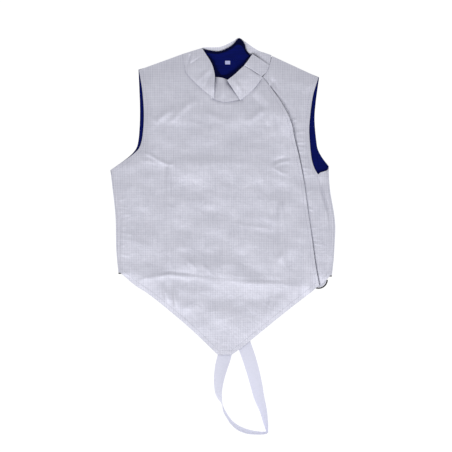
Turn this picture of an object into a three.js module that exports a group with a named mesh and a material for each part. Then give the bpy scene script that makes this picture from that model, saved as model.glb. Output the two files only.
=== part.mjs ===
import * as THREE from "three";

// A fencing lame laid flat, front up. Millimetres: +X to the right, +Y to the collar, +Z up off the table.

// Thicknesses and gaps
const WALL = 1.6; // lame cloth with its seam allowance pressed in
const LINING = 1.2;
const SEAM_GAP = 0.3;
const SIDE_FOLD_RADIUS = 5; // the back turns up and over the sides round this radius
const SIDE_LEVEL = 2 * SIDE_FOLD_RADIUS;
const LINING_Z = WALL + SEAM_GAP;

// Side front, lying under the main front along the placket
const PLACKET_OVERLAP = 20;
const PLACKET_UNDER = 1.5; // the overlap's width where it runs out at the neck
const PLACKET_FADE = 5; // the overlap narrows over the last 1/5 of the placket
const PLACKET_LIFT = WALL + 1.3;
const PLACKET_FLAT = 2; // the lift is full to this far past the overlap, then blends away
const PLACKET_BLEND = 22;

// Strap, label, guard
const STRAP = { width: 30, thickness: 1.5 };
const LABEL = { x: 10.6, y: 381.6, width: 11.9, height: 8.6, thickness: 0.8 };
const GUARD = { x: 210.5, y: -95.6, radius: 17.3, top: -52, z: 2.0, thickness: 1.2, clear: 0.2 };
const GUARD_LIFT = { reach: 24, blend: 22 }; // the cloth over the guard is lifted round its middle
const BINDING_WIDTH = 3;
const BINDING_ARC = { from: 1.05 * Math.PI, to: 1.99 * Math.PI };

// Cells between named lines of the grids
const EVEN_ROUNDS = 60;
const CELLS = {
  side: 13, armhole: 13, shoulder: 8, roll: 6, backWidth: 16, backShoulder: 4, backNeck: 8, liningSide: 16,
  hemLeft: 16, hemPoint: 3, hemRight: 11, sideNeck: 5, sideHem: [4, 2, 7], collarStep: 2, collarAcross: 4,
  strap: 96, guardArc: 18,
};

// The back's sides from the hem up: silhouette, and width of the strip that shows in front
const LEFT_SIDE = [
  { y: -80, silhouette: -229.8, strip: 3.7 },
  { y: -33, silhouette: -234.1, strip: 7 },
  { y: 47, silhouette: -236.3, strip: 10 },
  { y: 100, silhouette: -242, strip: 6 },
  { y: 144.7, silhouette: -247.3, strip: 1.2 },
];
const RIGHT_SIDE = [
  { y: -86, silhouette: 240, strip: 3.5 },
  { y: -52, silhouette: 243.8, strip: 5.5 },
  { y: -17, silhouette: 246, strip: 8.5 },
  { y: 24, silhouette: 247.3, strip: 11 },
  { y: 55, silhouette: 243.8, strip: 12 },
  { y: 73, silhouette: 240.7, strip: 14.5 },
  { y: 90, silhouette: 237.5, strip: 16.5 },
  { y: 117, silhouette: 234.4, strip: 19.5 },
  { y: 135, silhouette: 233.6, strip: 24.5 },
];

// The turned sides: how the fold opens out above the side seams
const RIGHT_TURN_TOP = { y: 153.5, silhouette: 233.6, strip: 24.5 };
const TURN = { grow: 18, speed: 1.5, leftCurl: 34, rightCurl: 26 };

// The front's sides lie level with the folds between these heights
const LEVEL_SIDES = { fromX: 190, overX: 30, lowY: -100, lowOver: 20, highY: 170, highOver: 25 };

// Armhole edges, from the side seam up to the shoulder
const ARMHOLE = {
  leftFront: [
    { x: -245.5, y: 144.7 },
    { x: -200.9, y: 177 },
    { x: -186.6, y: 189.3 },
    { x: -177.8, y: 211.3 },
    { x: -173.4, y: 262 },
    { x: -176.7, y: 317.8 },
    { x: -184.4, y: 365.3 },
  ],
  leftBack: [
    { x: -247.3, y: 144.7 },
    { x: -205, y: 176 },
    { x: -189.9, y: 193.7 },
    { x: -184.4, y: 222.3 },
    { x: -182.2, y: 277.3 },
    { x: -185.5, y: 366.3 },
  ],
  rightFront: [
    { x: 208.8, y: 135 },
    { x: 196.5, y: 163 },
    { x: 190.3, y: 218.4 },
    { x: 191, y: 255 },
    { x: 198.2, y: 308.8 },
    { x: 210.5, y: 348.8 },
  ],
  rightBack: [
    { x: 233.6, y: 153.5 },
    { x: 215.8, y: 177.2 },
    { x: 207.9, y: 194.8 },
    { x: 202, y: 249.8 },
    { x: 203.9, y: 289.2 },
    { x: 211.9, y: 349.4 },
  ],
};

// Lower edge of the front, from the left side seam to the point and up to the placket
const HEM_LEFT = [
  { x: -225.8, y: -80 },
  { x: -193.4, y: -108.1 },
  { x: -161.9, y: -128.6 },
  { x: -116.8, y: -164.7 },
  { x: -67.1, y: -207.4 },
  { x: -11.7, y: -260.6 },
];
const HEM_POINT = [
  { x: -11.7, y: -260.6 },
  { x: 20.9, y: -260.6 },
];
const HEM_RIGHT = [
  { x: 20.9, y: -260.6 },
  { x: 60.9, y: -229.8 },
  { x: 113.3, y: -186.9 },
  { x: 158.4, y: -151 },
  { x: 203.9, y: -115.8 },
  { x: 211.6, y: -108 },
];
const HEM_SIDE = [
  { x: 191.6, y: -92 },
  { x: 209, y: -98 },
  { x: 213.4, y: -110 },
  { x: 229.2, y: -94.5 },
  { x: 235.8, y: -86 },
];
const PLACKET = [
  { x: 211.6, y: -108 },
  { x: 203.3, y: -61.5 },
  { x: 196.2, y: -8.7 },
  { x: 186.6, y: 57.3 },
  { x: 178.6, y: 116.7 },
  { x: 168, y: 171 },
  { x: 157.3, y: 215.7 },
  { x: 148, y: 255 },
  { x: 122.5, y: 302.6 },
  { x: 88.4, y: 348.5 },
];
const SIDE_NECK = [
  { x: 99.4, y: 360.5 },
  { x: 104.4, y: 375 },
  { x: 108.2, y: 396.1 },
];
const SHOULDER = {
  left: [
    { x: -184.4, y: 365.3 },
    { x: -87.8, y: 400.2 },
  ],
  right: [
    { x: 108.2, y: 396.1 },
    { x: 210.5, y: 348.8 },
  ],
};

// Back: middle of the hem, and the ends of the neck seam at the shoulders
const BACK_HEM_MIDDLE = { x: 0, y: -86 };
const BACK_NECK_ENDS = [{ x: -86, y: 396 }, { x: 106, y: 394 }];
const BACK_NECK = [
  { x: -55, y: 389.6 },
  { x: -40, y: 387.5 },
  { x: -15, y: 386.8 },
  { x: 12, y: 386.8 },
  { x: 30, y: 386.8 },
  { x: 48, y: 387.2 },
  { x: 76, y: 390.4 },
];
const BACK_NECK_GAP = 3 * SEAM_GAP;

// Upper back lining: its hem, its inset from the armhole, and its ends at the neck
const LINING_HEM = 96;
const LINING_SIDE = [{ y: LINING_HEM, inset: 28 }, { y: 150, inset: 24 }];
const LINING_INSET = { low: 9, high: 1, change: 180 };
const LINING_NECK_ENDS = [{ x: -85, y: 394.6 }, { x: 105, y: 392.6 }];
const LINING_NECK_DROP = 1;

// Middle of the neck, which the seams round it are drawn away from
const NECK_MIDDLE = { x: 1, y: 372 };

// Sections of the front collar, from its left end round to its overlapping end: neck seam, and upper edge
const COLLAR_FRONT = [
  { name: "left_end", seamX: -89, seamY: 400, seamZ: 7, edgeX: -45.8, edgeY: 413.4, edgeZ: 10.6 },
  { name: "left_turn", seamX: -84.6, seamY: 377, seamZ: 9, edgeX: -36, edgeY: 398, edgeZ: 14 },
  { name: "left_side", seamX: -78.6, seamY: 356.5, seamZ: 10.5, edgeX: -26, edgeY: 382, edgeZ: 16.5 },
  { name: "left_front", seamX: -49.1, seamY: 325.9, seamZ: 11, edgeX: -20, edgeY: 366, edgeZ: 17.5 },
  { name: "pleat_a_over", seamX: -19.8, seamY: 302.3, seamZ: 11, edgeX: -16.4, edgeY: 349.2, edgeZ: 17.5 },
  { name: "pleat_a_under", seamX: -14.5, seamY: 299.3, seamZ: 11, edgeX: -14.9, edgeY: 348.6, edgeZ: 13 },
  { name: "centre", seamX: 6, seamY: 294.4, seamZ: 11, edgeX: 0, edgeY: 348, edgeZ: 12.5 },
  { name: "pleat_b_under", seamX: 32, seamY: 296.6, seamZ: 11, edgeX: 8.2, edgeY: 342.5, edgeZ: 13 },
  { name: "pleat_b_over", seamX: 38.5, seamY: 299.3, seamZ: 11, edgeX: 9.8, edgeY: 341.2, edgeZ: 17.5 },
  { name: "right_front", seamX: 58, seamY: 314, seamZ: 11.5, edgeX: 26, edgeY: 355, edgeZ: 18 },
  { name: "right_side", seamX: 72.4, seamY: 328.2, seamZ: 12, edgeX: 36, edgeY: 364.5, edgeZ: 18 },
  { name: "overlap_end", seamX: 87.6, seamY: 348.5, seamZ: 13, edgeX: 46, edgeY: 373.6, edgeZ: 18 },
];

// Sections of the collar's side piece, from under the front collar to its end at the back
const COLLAR_SIDE = [
  { name: "under_front", seamX: 83.4, seamY: 346.6, seamZ: 10.2, edgeX: 41, edgeY: 366.5, edgeZ: 15.2 },
  { name: "seam_line", seamX: 87.8, seamY: 352.4, seamZ: 10.6, edgeX: 46.9, edgeY: 374.8, edgeZ: 15.5 },
  { name: "middle", seamX: 96.4, seamY: 361.4, seamZ: 10.5, edgeX: 55.5, edgeY: 386, edgeZ: 15 },
  { name: "end", seamX: 102.4, seamY: 375.4, seamZ: 9.5, edgeX: 65, edgeY: 400.3, edgeZ: 12.5 },
];

// Sections of the back collar, from left to right: neck seam, and upper edge
const COLLAR_BACK = [
  { name: "left_end", seamX: -84, seamY: 396.6, edgeX: -82, edgeY: 401.3, edgeZ: 3.4 },
  { name: "left", seamX: -55, seamY: 389.6, edgeX: -56, edgeY: 406.5, edgeZ: 5 },
  { name: "left_tip", seamX: -40, seamY: 387.5, edgeX: -42, edgeY: 414.6, edgeZ: 6 },
  { name: "left_dip", seamX: -15, seamY: 386.8, edgeX: -6.2, edgeY: 416, edgeZ: 6 },
  { name: "rise", seamX: 12, seamY: 386.8, edgeX: 21.3, edgeY: 428, edgeZ: 7 },
  { name: "peak", seamX: 30, seamY: 386.8, edgeX: 35.2, edgeY: 435.6, edgeZ: 8 },
  { name: "right_fall", seamX: 48, seamY: 387.2, seamZ: 1.8, edgeX: 49, edgeY: 427.5, edgeZ: 6.8 },
  { name: "right_turn", seamX: 66, seamY: 389.6, seamZ: 2.2, edgeX: 65, edgeY: 416, edgeZ: 6.6 },
  { name: "right", seamX: 80, seamY: 389.6, seamZ: 5.3, edgeX: 79, edgeY: 407.4, edgeZ: 6.4 },
  { name: "right_low", seamX: 91, seamY: 381.4, seamZ: 5.8, edgeX: 92, edgeY: 403, edgeZ: 5.8 },
  { name: "right_end", seamX: 102.6, seamY: 375.6, seamZ: 6.4, edgeX: 107.2, edgeY: 397.8, edgeZ: 4.6 },
];
const COLLAR_LINING = [
  { name: "left_tip", seamX: -62, seamY: 390.4, edgeX: -46.8, edgeY: 412.6, edgeZ: 8 },
  { name: "left_dip", seamX: -40, seamY: 387.6, edgeX: -29.7, edgeY: 408.2, edgeZ: 7.3 },
  { name: "dip", seamX: -15, seamY: 386.8, edgeX: -6.2, edgeY: 406.4, edgeZ: 7.2 },
  { name: "rise", seamX: 10, seamY: 386.8, edgeX: 19.4, edgeY: 418.6, edgeZ: 9.2 },
  { name: "peak", seamX: 27, seamY: 386.8, edgeX: 35.2, edgeY: 434.4, edgeZ: 10.6 },
  { name: "right_fall", seamX: 40, seamY: 386.8, edgeX: 46.9, edgeY: 424, edgeZ: 9.6 },
  { name: "right_dip", seamX: 48, seamY: 387.1, seamZ: 3.3, edgeX: 52.8, edgeY: 406.8, edgeZ: 8 },
  { name: "right_tip", seamX: 60, seamY: 388.5, seamZ: 3.5, edgeX: 63.4, edgeY: 396.6, edgeZ: 7 },
];

// How far each collar piece is crowned between its seam and its upper edge
const COLLAR_CROWN = { front: 1.2, side: 0.3, back: 0, lining: 0 };

// Height of the front's loft along the body, from the point up
const CROWN = [
  { y: -262, z: 4.2 },
  { y: -200, z: 6.4 },
  { y: -130, z: 8.6 },
  { y: -84, z: 10 },
  { y: 50, z: 9.6 },
  { y: 150, z: 10.4 },
  { y: 260, z: 12 },
  { y: 330, z: 11.4 },
  { y: 400, z: 9 },
];

// Level of the loft at each edge, and how far in the edge rolls
const EDGE_ROLL = {
  shoulder: { level: 5.2, roll: 26 },
  armhole: { level: 7.6, roll: 16 },
  hem: { level: 4.1, roll: 22 },
};

// Largest folds of the front: a ridge rises, a trough falls; width is half the fold's breadth
const FOLDS = [
  { name: "belly_left", x1: -196, y1: -103, x2: -121, y2: -83, width: 11, rise: 2.4 },
  { name: "belly_pinch", x1: -121, y1: -83, x2: -46, y2: -89, width: 9, rise: 3 },
  { name: "belly_middle", x1: -46, y1: -89, x2: 38, y2: -101, width: 10, rise: 2.4 },
  { name: "belly_right", x1: 38, y1: -101, x2: 160, y2: -107, width: 11, rise: 1.8 },
  { name: "below_belly", x1: -150, y1: -122, x2: 118, y2: -132, width: 14, rise: -1.2 },
  { name: "waist", x1: -90, y1: -56, x2: 150, y2: -62, width: 14, rise: 1.3 },
  { name: "ribs_low", x1: -60, y1: 82, x2: 140, y2: 80, width: 14, rise: 1.4 },
  { name: "ribs_trough", x1: -94, y1: 118, x2: 150, y2: 108, width: 14, rise: -1.2 },
  { name: "ribs_high", x1: -112, y1: 154, x2: 130, y2: 148, width: 14, rise: 1.8 },
  { name: "left_armpit_a", x1: -175, y1: 178, x2: -139, y2: 161, width: 9, rise: 2.4 },
  { name: "left_armpit_b", x1: -139, y1: 161, x2: -110, y2: 156, width: 9, rise: 1.6 },
  { name: "left_armpit_trough", x1: -195, y1: 146, x2: -140, y2: 140, width: 9, rise: -1.2 },
  { name: "right_armpit", x1: 96, y1: 158, x2: 142, y2: 148, width: 9, rise: 1.4 },
  { name: "chest_left_a", x1: -98, y1: 295, x2: -54, y2: 286, width: 13, rise: 1.6 },
  { name: "chest_left_b", x1: -54, y1: 286, x2: 9, y2: 264, width: 13, rise: 1.4 },
  { name: "chest_right", x1: 86, y1: 277, x2: 126, y2: 209, width: 13, rise: 1.3 },
  { name: "left_press", x1: -115, y1: 147, x2: -115, y2: -84, width: 7, rise: 0.6 },
  { name: "right_press", x1: 131, y1: 72, x2: 131, y2: -60, width: 7, rise: 0.6 },
  { name: "point_left", x1: -127, y1: -112, x2: -108, y2: -163, width: 10, rise: 1.2 },
  { name: "point_right", x1: 104, y1: -130, x2: 117, y2: -170, width: 10, rise: 1.2 },
];

// Strap: its middle line on the table, from under the point round to the back hem.
// turn 0 lies with the outer face up, 90 stands on edge, 180 lies with the inner face up.
const STRAP_LINE = [
  { x: 5.2, y: -238, turn: 0, lift: 0 },
  { x: 4.4, y: -260.6, turn: 0, lift: 0 },
  { x: -3.5, y: -289.2, turn: 26, lift: 0 },
  { x: -8.6, y: -316.7, turn: 48, lift: 0 },
  { x: -9.5, y: -342, turn: 63, lift: 0 },
  { x: -6.8, y: -354.5, turn: 72, lift: 0 },
  { x: -1.8, y: -366, turn: 84, lift: 0 },
  { x: 3, y: -384, turn: 90, lift: 0 },
  { x: 11.4, y: -398.6, turn: 92, lift: 0 },
  { x: 20, y: -410.2, turn: 97, lift: 0 },
  { x: 34, y: -421.4, turn: 101, lift: 0 },
  { x: 52.4, y: -429, turn: 102, lift: 0 },
  { x: 72, y: -432.2, turn: 99, lift: 0 },
  { x: 91, y: -432.7, turn: 95, lift: 0 },
  { x: 97.2, y: -430, turn: 95, lift: 0 },
  { x: 96.8, y: -424, turn: 99, lift: 0 },
  { x: 93.7, y: -408.9, turn: 109, lift: 0 },
  { x: 88.2, y: -382.5, turn: 120, lift: 0 },
  { x: 79, y: -354.8, turn: 134, lift: 0 },
  { x: 72.4, y: -326.4, turn: 142, lift: 0 },
  { x: 68.5, y: -300.2, turn: 154, lift: 0 },
  { x: 58.5, y: -268.3, turn: 168, lift: 0 },
  { x: 48.2, y: -241.5, turn: 180, lift: 0 },
  { x: 31, y: -190, turn: 180, lift: 0 },
  { x: 16, y: -140.7, turn: 180, lift: 0 },
  { x: 9, y: -108, turn: 180, lift: 0 },
  { x: 6, y: -93, turn: 180, lift: LINING_Z },
  { x: 5, y: -70, turn: 180, lift: LINING_Z },
];
const TURN_STEP = 0.1; // millimetres that stand for a degree while the turn is smoothed with the line

const COLOURS = { lame: 0xc6c6d2, lining: 0x0c1460, binding: 0x3c3c40, strap: 0xdfe1f2, label: 0xe8e8f0 };

const group = new THREE.Group();
const clamp01 = (t) => Math.min(1, Math.max(0, t));
const smooth = (t) => clamp01(t) ** 2 * (3 - 2 * clamp01(t));
const mix = THREE.MathUtils.lerp;

function add(name, geometry, color) {
  const mesh = new THREE.Mesh(geometry, new THREE.MeshStandardMaterial({ color, roughness: 0.6 }));
  mesh.name = name;
  group.add(mesh);
}

// A column of a table at a given value of another, between its rows.
function at(rows, key, value, column) {
  const k = rows.findIndex((row) => row[key] > value);
  if (k === 0) return rows[0][column];
  if (k < 0) return rows[rows.length - 1][column];
  const [a, b] = [rows[k - 1], rows[k]];
  return mix(a[column], b[column], (value - a[key]) / (b[key] - a[key]));
}

// Even points along a smooth line through the rows of a table.
function along(rows, cells) {
  const points = rows.map((row) => new THREE.Vector3(row.x, row.y, 0));
  if (points.length === 2)
    return Array.from({ length: cells + 1 }, (_, i) => points[0].clone().lerp(points[1], i / cells));
  return new THREE.CatmullRomCurve3(points, false, "centripetal").getSpacedPoints(cells);
}

// Lines joined end to end; the shared points are kept once.
const joined = (...lines) => lines.flatMap((line, i) => (i ? line.slice(1) : line));

const moved = (line, dx, dy) => line.map((p) => new THREE.Vector3(p.x + dx, p.y + dy, p.z));

// Moves an inner point of a grid so that the lines through it run evenly and never cross.
function evenOut(grid, i, j) {
  const [west, east, south, north] = [grid[j][i - 1], grid[j][i + 1], grid[j - 1][i], grid[j + 1][i]];
  const [ux, uy] = [(east.x - west.x) / 2, (east.y - west.y) / 2];
  const [vx, vy] = [(north.x - south.x) / 2, (north.y - south.y) / 2];
  const [a, b, c] = [vx * vx + vy * vy, ux * vx + uy * vy, ux * ux + uy * uy];
  for (const axis of ["x", "y"]) {
    const twist = grid[j + 1][i + 1][axis] - grid[j + 1][i - 1][axis]
      - grid[j - 1][i + 1][axis] + grid[j - 1][i - 1][axis];
    grid[j][i][axis] = (a * (east[axis] + west[axis]) + c * (north[axis] + south[axis])
      - (b / 2) * twist) / (2 * (a + c));
  }
}

// A grid of plan points between four edges, rows from bottom to top.
function between(bottom, right, top, left) {
  const nu = bottom.length - 1;
  const nv = left.length - 1;
  if (top.length !== nu + 1 || right.length !== nv + 1) throw new Error("the edges differ in cells");
  const blend = (u, v, i, j, axis) =>
    (1 - v) * bottom[i][axis] + v * top[i][axis] + (1 - u) * left[j][axis] + u * right[j][axis]
    - (1 - u) * (1 - v) * bottom[0][axis] - u * (1 - v) * bottom[nu][axis]
    - (1 - u) * v * top[0][axis] - u * v * top[nu][axis];
  const grid = left.map((_, j) =>
    bottom.map((__, i) => new THREE.Vector3(
      blend(i / nu, j / nv, i, j, "x"), blend(i / nu, j / nv, i, j, "y"), 0)));
  for (let round = 0; round < EVEN_ROUNDS; round++)
    for (let j = 1; j < nv; j++)
      for (let i = 1; i < nu; i++) evenOut(grid, i, j);
  for (let j = 0; j < nv; j++)
    for (let i = 0; i < nu; i++) {
      const [p, q, r, s] = [grid[j][i], grid[j][i + 1], grid[j + 1][i + 1], grid[j + 1][i]];
      const area = (a, b, c) => (b.x - a.x) * (c.y - a.y) - (b.y - a.y) * (c.x - a.x);
      if (area(p, q, r) <= 0 || area(p, r, s) <= 0)
        throw new Error(`a cell is folded over at ${p.x.toFixed(1)}, ${p.y.toFixed(1)}`);
    }
  return grid;
}

// One closed wall between two grids of points; the first is the upper face.
function wall(upper, lower) {
  const [rows, columns] = [upper.length, upper[0].length];
  const index = (side, j, i) => side * rows * columns + j * columns + i;
  const faces = [];
  const quad = (a, b, c, d) => faces.push(a, b, c, a, c, d);
  for (let j = 0; j < rows - 1; j++)
    for (let i = 0; i < columns - 1; i++) {
      quad(index(0, j, i), index(0, j, i + 1), index(0, j + 1, i + 1), index(0, j + 1, i));
      quad(index(1, j, i), index(1, j + 1, i), index(1, j + 1, i + 1), index(1, j, i + 1));
    }
  for (let i = 0; i < columns - 1; i++) {
    quad(index(0, 0, i), index(1, 0, i), index(1, 0, i + 1), index(0, 0, i + 1));
    quad(index(0, rows - 1, i + 1), index(1, rows - 1, i + 1), index(1, rows - 1, i), index(0, rows - 1, i));
  }
  for (let j = 0; j < rows - 1; j++) {
    quad(index(0, j + 1, 0), index(1, j + 1, 0), index(1, j, 0), index(0, j, 0));
    quad(index(0, j, columns - 1), index(1, j, columns - 1), index(1, j + 1, columns - 1),
      index(0, j + 1, columns - 1));
  }
  const geometry = new THREE.BufferGeometry();
  geometry.setAttribute("position", new THREE.Float32BufferAttribute(
    [upper, lower].flat(2).flatMap((p) => [p.x, p.y, p.z]), 3));
  geometry.setIndex(faces);
  return geometry;
}

// A piece that lies flat or follows a height: its upper face is height(x, y), its thickness is measured down.
function sheet(name, plan, height, thickness, color) {
  const raise = (drop) => plan.map((row) =>
    row.map((p) => new THREE.Vector3(p.x, p.y, height(p.x, p.y) - drop)));
  add(name, wall(raise(0), raise(thickness)), color);
}

const distanceToSegment = (x, y, a, b) => {
  const [dx, dy] = [b.x - a.x, b.y - a.y];
  const t = clamp01(((x - a.x) * dx + (y - a.y) * dy) / (dx * dx + dy * dy));
  return Math.hypot(x - a.x - t * dx, y - a.y - t * dy);
};
const distanceToLine = (x, y, line) => {
  let nearest = Infinity;
  for (let i = 1; i < line.length; i++)
    nearest = Math.min(nearest, distanceToSegment(x, y, line[i - 1], line[i]));
  return nearest;
};

// Folds, each soft across and fading out at its ends.
function folds(x, y) {
  let sum = 0;
  for (const f of FOLDS) {
    const d = distanceToSegment(x, y, { x: f.x1, y: f.y1 }, { x: f.x2, y: f.y2 });
    sum += f.rise * Math.exp(-((d / f.width) ** 2));
  }
  return sum;
}

// Named lines shared by the pieces
const sideLine = (rows, sign, inset) => {
  const line = Array.from({ length: CELLS.side + 1 }, (_, j) =>
    mix(rows[0].y, rows[rows.length - 1].y, j / CELLS.side));
  return line.map((y) => new THREE.Vector3(
    at(rows, "y", y, "silhouette") - sign * inset(at(rows, "y", y, "strip")), y, 0));
};
const clearOfStrip = (strip) => strip + SEAM_GAP + WALL * Math.max(0, 1 - strip / SIDE_FOLD_RADIUS);
const seamLeft = sideLine(LEFT_SIDE, -1, clearOfStrip);
const seamRight = sideLine(RIGHT_SIDE, 1, (strip) => clearOfStrip(strip) + SEAM_GAP);
const neckCells = (COLLAR_FRONT.length - 1) * CELLS.collarStep;
const stepped = (rows, seam) => {
  const points = rows.map((s) => (seam
    ? new THREE.Vector3(s.seamX, s.seamY, s.seamZ ?? 0) : new THREE.Vector3(s.edgeX, s.edgeY, s.edgeZ)));
  const line = new THREE.CatmullRomCurve3(points, false, "centripetal");
  const cells = (rows.length - 1) * CELLS.collarStep;
  return Array.from({ length: cells + 1 }, (_, i) => line.getPoint(i / cells));
};
const awayFromNeck = (line, gap) => line.map((p) => {
  const out = new THREE.Vector3(p.x - NECK_MIDDLE.x, p.y - NECK_MIDDLE.y, 0).normalize();
  return new THREE.Vector3(p.x + out.x * gap, p.y + out.y * gap, 0);
});
const neckLine = awayFromNeck(stepped(COLLAR_FRONT, true), 2 * SEAM_GAP);
const placketLine = along([...PLACKET].slice(0, -1).concat([neckLine[neckCells]]), 2 * CELLS.side);
const hemLine = joined(
  along(HEM_LEFT, CELLS.hemLeft), along(HEM_POINT, CELLS.hemPoint), along(HEM_RIGHT, CELLS.hemRight));
const shoulderLeft = along([SHOULDER.left[0], neckLine[0]], CELLS.shoulder);
const armholeLeft = along([seamLeft[CELLS.side], ...ARMHOLE.leftFront.slice(1)], CELLS.armhole);
const armholeRight = along([seamRight[CELLS.side], ...ARMHOLE.rightFront.slice(1)], CELLS.armhole);

// Height of the front's upper face: a loft that rolls down to each edge's own level
const FRONT_EDGES = [
  { line: shoulderLeft, ...EDGE_ROLL.shoulder },
  { line: SHOULDER.right, ...EDGE_ROLL.shoulder },
  { line: armholeLeft, ...EDGE_ROLL.armhole },
  { line: armholeRight, ...EDGE_ROLL.armhole },
  { line: hemLine, ...EDGE_ROLL.hem },
];
const guardLevel = GUARD.z + GUARD.thickness + SEAM_GAP + WALL + GUARD.clear;
function front(x, y) {
  const crown = at(CROWN, "y", y, "z") + folds(x, y);
  let z = crown;
  for (const { line, level, roll } of FRONT_EDGES) {
    const t = clamp01(distanceToLine(x, y, line) / roll);
    z = Math.min(z, level + (crown - level) * Math.sqrt(1 - (1 - t) ** 2));
  }
  const { fromX, overX, lowY, lowOver, highY, highOver } = LEVEL_SIDES;
  const sideways = clamp01((Math.abs(x) - fromX) / overX) * clamp01((y - lowY) / lowOver)
    * clamp01((highY - y) / highOver);
  return mix(z, SIDE_LEVEL, smooth(sideways));
}
const nearGuard = (x, y) =>
  smooth(1 - (Math.hypot(x - GUARD.x, y - GUARD.y) - GUARD_LIFT.reach) / GUARD_LIFT.blend);
function sideFront(x, y) {
  return Math.max(front(x, y), mix(0, guardLevel, nearGuard(x, y)));
}
function mainFront(x, y) {
  const d = distanceToLine(x, y, placketLine);
  const lift = PLACKET_LIFT * smooth(1 - (d - PLACKET_OVERLAP - PLACKET_FLAT) / PLACKET_BLEND);
  return sideFront(x, y) + lift;
}

// Main front, from the left side seam to the placket's edge, with the point below
sheet("front_main", between(
  hemLine.map((p, i) => (i === 0 ? seamLeft[0] : i === hemLine.length - 1 ? placketLine[0] : p)),
  placketLine,
  joined(shoulderLeft, neckLine),
  joined(seamLeft, armholeLeft),
), mainFront, WALL, COLOURS.lame);

// Side front, from under the placket to the right side seam
const sideNeck = along([
  { x: placketLine.at(-1).x - PLACKET_UNDER, y: placketLine.at(-1).y },
  ...SIDE_NECK,
], CELLS.sideNeck);
const tucked = placketLine.map((p, j) => {
  const v = j / (placketLine.length - 1);
  return new THREE.Vector3(p.x - mix(PLACKET_UNDER, PLACKET_OVERLAP, smooth((1 - v) * PLACKET_FADE)), p.y, 0);
});
tucked[0] = new THREE.Vector3(HEM_SIDE[0].x, HEM_SIDE[0].y, 0);
sheet("front_side", between(
  joined(along(HEM_SIDE.slice(0, 2), CELLS.sideHem[0]), along(HEM_SIDE.slice(1, 3), CELLS.sideHem[1]),
    along([...HEM_SIDE.slice(2, -1), seamRight[0]], CELLS.sideHem[2])),
  joined(seamRight, armholeRight),
  joined(sideNeck, along(SHOULDER.right, CELLS.shoulder)),
  tucked,
), sideFront, WALL, COLOURS.lame);

// Back: flat on the table, turned up and over at both sides
// One side's turned edge at a row: points from the flat sheet to the end of the strip, offset in by depth.
function turnedEdge(x, y, sign, angle, strip, depth) {
  const radius = SIDE_FOLD_RADIUS;
  const flat = radius * (1 - Math.sin(Math.min(angle, Math.PI / 2)));
  const bend = Math.min(angle, Math.PI);
  const straight = angle >= Math.PI ? Math.max(0, strip - radius) : 0;
  const total = flat + bend * radius + straight;
  const points = [];
  for (let k = 1; k <= CELLS.roll; k++) {
    const s = (total * k) / CELLS.roll;
    const phi = clamp01((s - flat) / (bend * radius || 1)) * bend;
    const rest = Math.max(0, s - flat - bend * radius);
    const r = radius - depth;
    points.push(new THREE.Vector3(
      x + sign * (Math.min(s, flat) - radius + r * Math.sin(phi) + rest * Math.cos(bend)),
      y, radius - r * Math.cos(phi)));
  }
  return points;
}
// How far the cloth has turned at a row, and how wide its strip lies on top.
function turnAt(rows, y, curl) {
  const top = rows[rows.length - 1].y;
  const strip = at(rows, "y", y, "strip");
  if (y > top) return { angle: (Math.PI / 2) * (1 - smooth((y - top) / curl)), strip: 0 };
  const part = clamp01((top - y) / TURN.grow);
  const end = strip < SIDE_FOLD_RADIUS
    ? Math.PI - Math.asin(1 - strip / SIDE_FOLD_RADIUS) : Math.PI;
  return { angle: mix(Math.PI / 2, end, smooth(part * TURN.speed)), strip: mix(0, strip, part) };
}
const backLeft = joined(
  sideLine(LEFT_SIDE, -1, () => 0), along(ARMHOLE.leftBack, CELLS.armhole));
const rightSilhouette = [...RIGHT_SIDE, RIGHT_TURN_TOP];
const backRight = joined(
  sideLine(rightSilhouette, 1, () => 0), along(ARMHOLE.rightBack, CELLS.armhole));
const inset = (line, sign) => moved(line, sign * SIDE_FOLD_RADIUS, 0);
const neckCurve = BACK_NECK.map((s) => ({ x: s.x, y: s.y - BACK_NECK_GAP }));
// The upper edge of a back piece: shoulder, neck between its two ends, shoulder.
const backUpper = (left, ends, neck, right) => joined(
  along([left, ends[0]], CELLS.backShoulder),
  along([ends[0], ...neck, ends[1]], CELLS.backNeck),
  along([ends[1], right], CELLS.backShoulder));
const backTop = backUpper(moved([backLeft.at(-1)], SIDE_FOLD_RADIUS, 0)[0], BACK_NECK_ENDS, neckCurve,
  moved([backRight.at(-1)], -SIDE_FOLD_RADIUS, 0)[0]);
const hemOfBack = (dy) => along([
  { x: backLeft[0].x + SIDE_FOLD_RADIUS, y: backLeft[0].y + dy },
  { x: BACK_HEM_MIDDLE.x, y: BACK_HEM_MIDDLE.y + dy },
  { x: backRight[0].x - SIDE_FOLD_RADIUS, y: backRight[0].y + dy },
], CELLS.backWidth);
const backPlan = between(hemOfBack(0), inset(backRight, -1), backTop, inset(backLeft, 1));

function backFace(plan, left, right, depth) {
  return plan.map((row, j) => {
    const l = turnAt(LEFT_SIDE, left[j].y, TURN.leftCurl);
    const r = turnAt(rightSilhouette, right[j].y, TURN.rightCurl);
    return [
      ...turnedEdge(left[j].x, left[j].y, -1, l.angle, l.strip, depth).reverse(),
      ...row.map((p) => new THREE.Vector3(p.x, p.y, depth)),
      ...turnedEdge(right[j].x, right[j].y, 1, r.angle, r.strip, depth),
    ];
  });
}
add("back", wall(backFace(backPlan, backLeft, backRight, WALL), backFace(backPlan, backLeft, backRight, 0)),
  COLOURS.lame);

// Dark binding on the back's hem; only its two ends show in front
const bindingRows = [-SEAM_GAP - BINDING_WIDTH, -SEAM_GAP].map((dy) => ({
  left: moved([backLeft[0]], 0, dy)[0], right: moved([backRight[0]], 0, dy)[0], plan: hemOfBack(dy) }));
const bindingFace = (depth) => backFace(bindingRows.map((r) => r.plan),
  bindingRows.map((r) => r.left), bindingRows.map((r) => r.right), depth);
add("back_hem_binding", wall(bindingFace(WALL), bindingFace(0)), COLOURS.binding);

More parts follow.
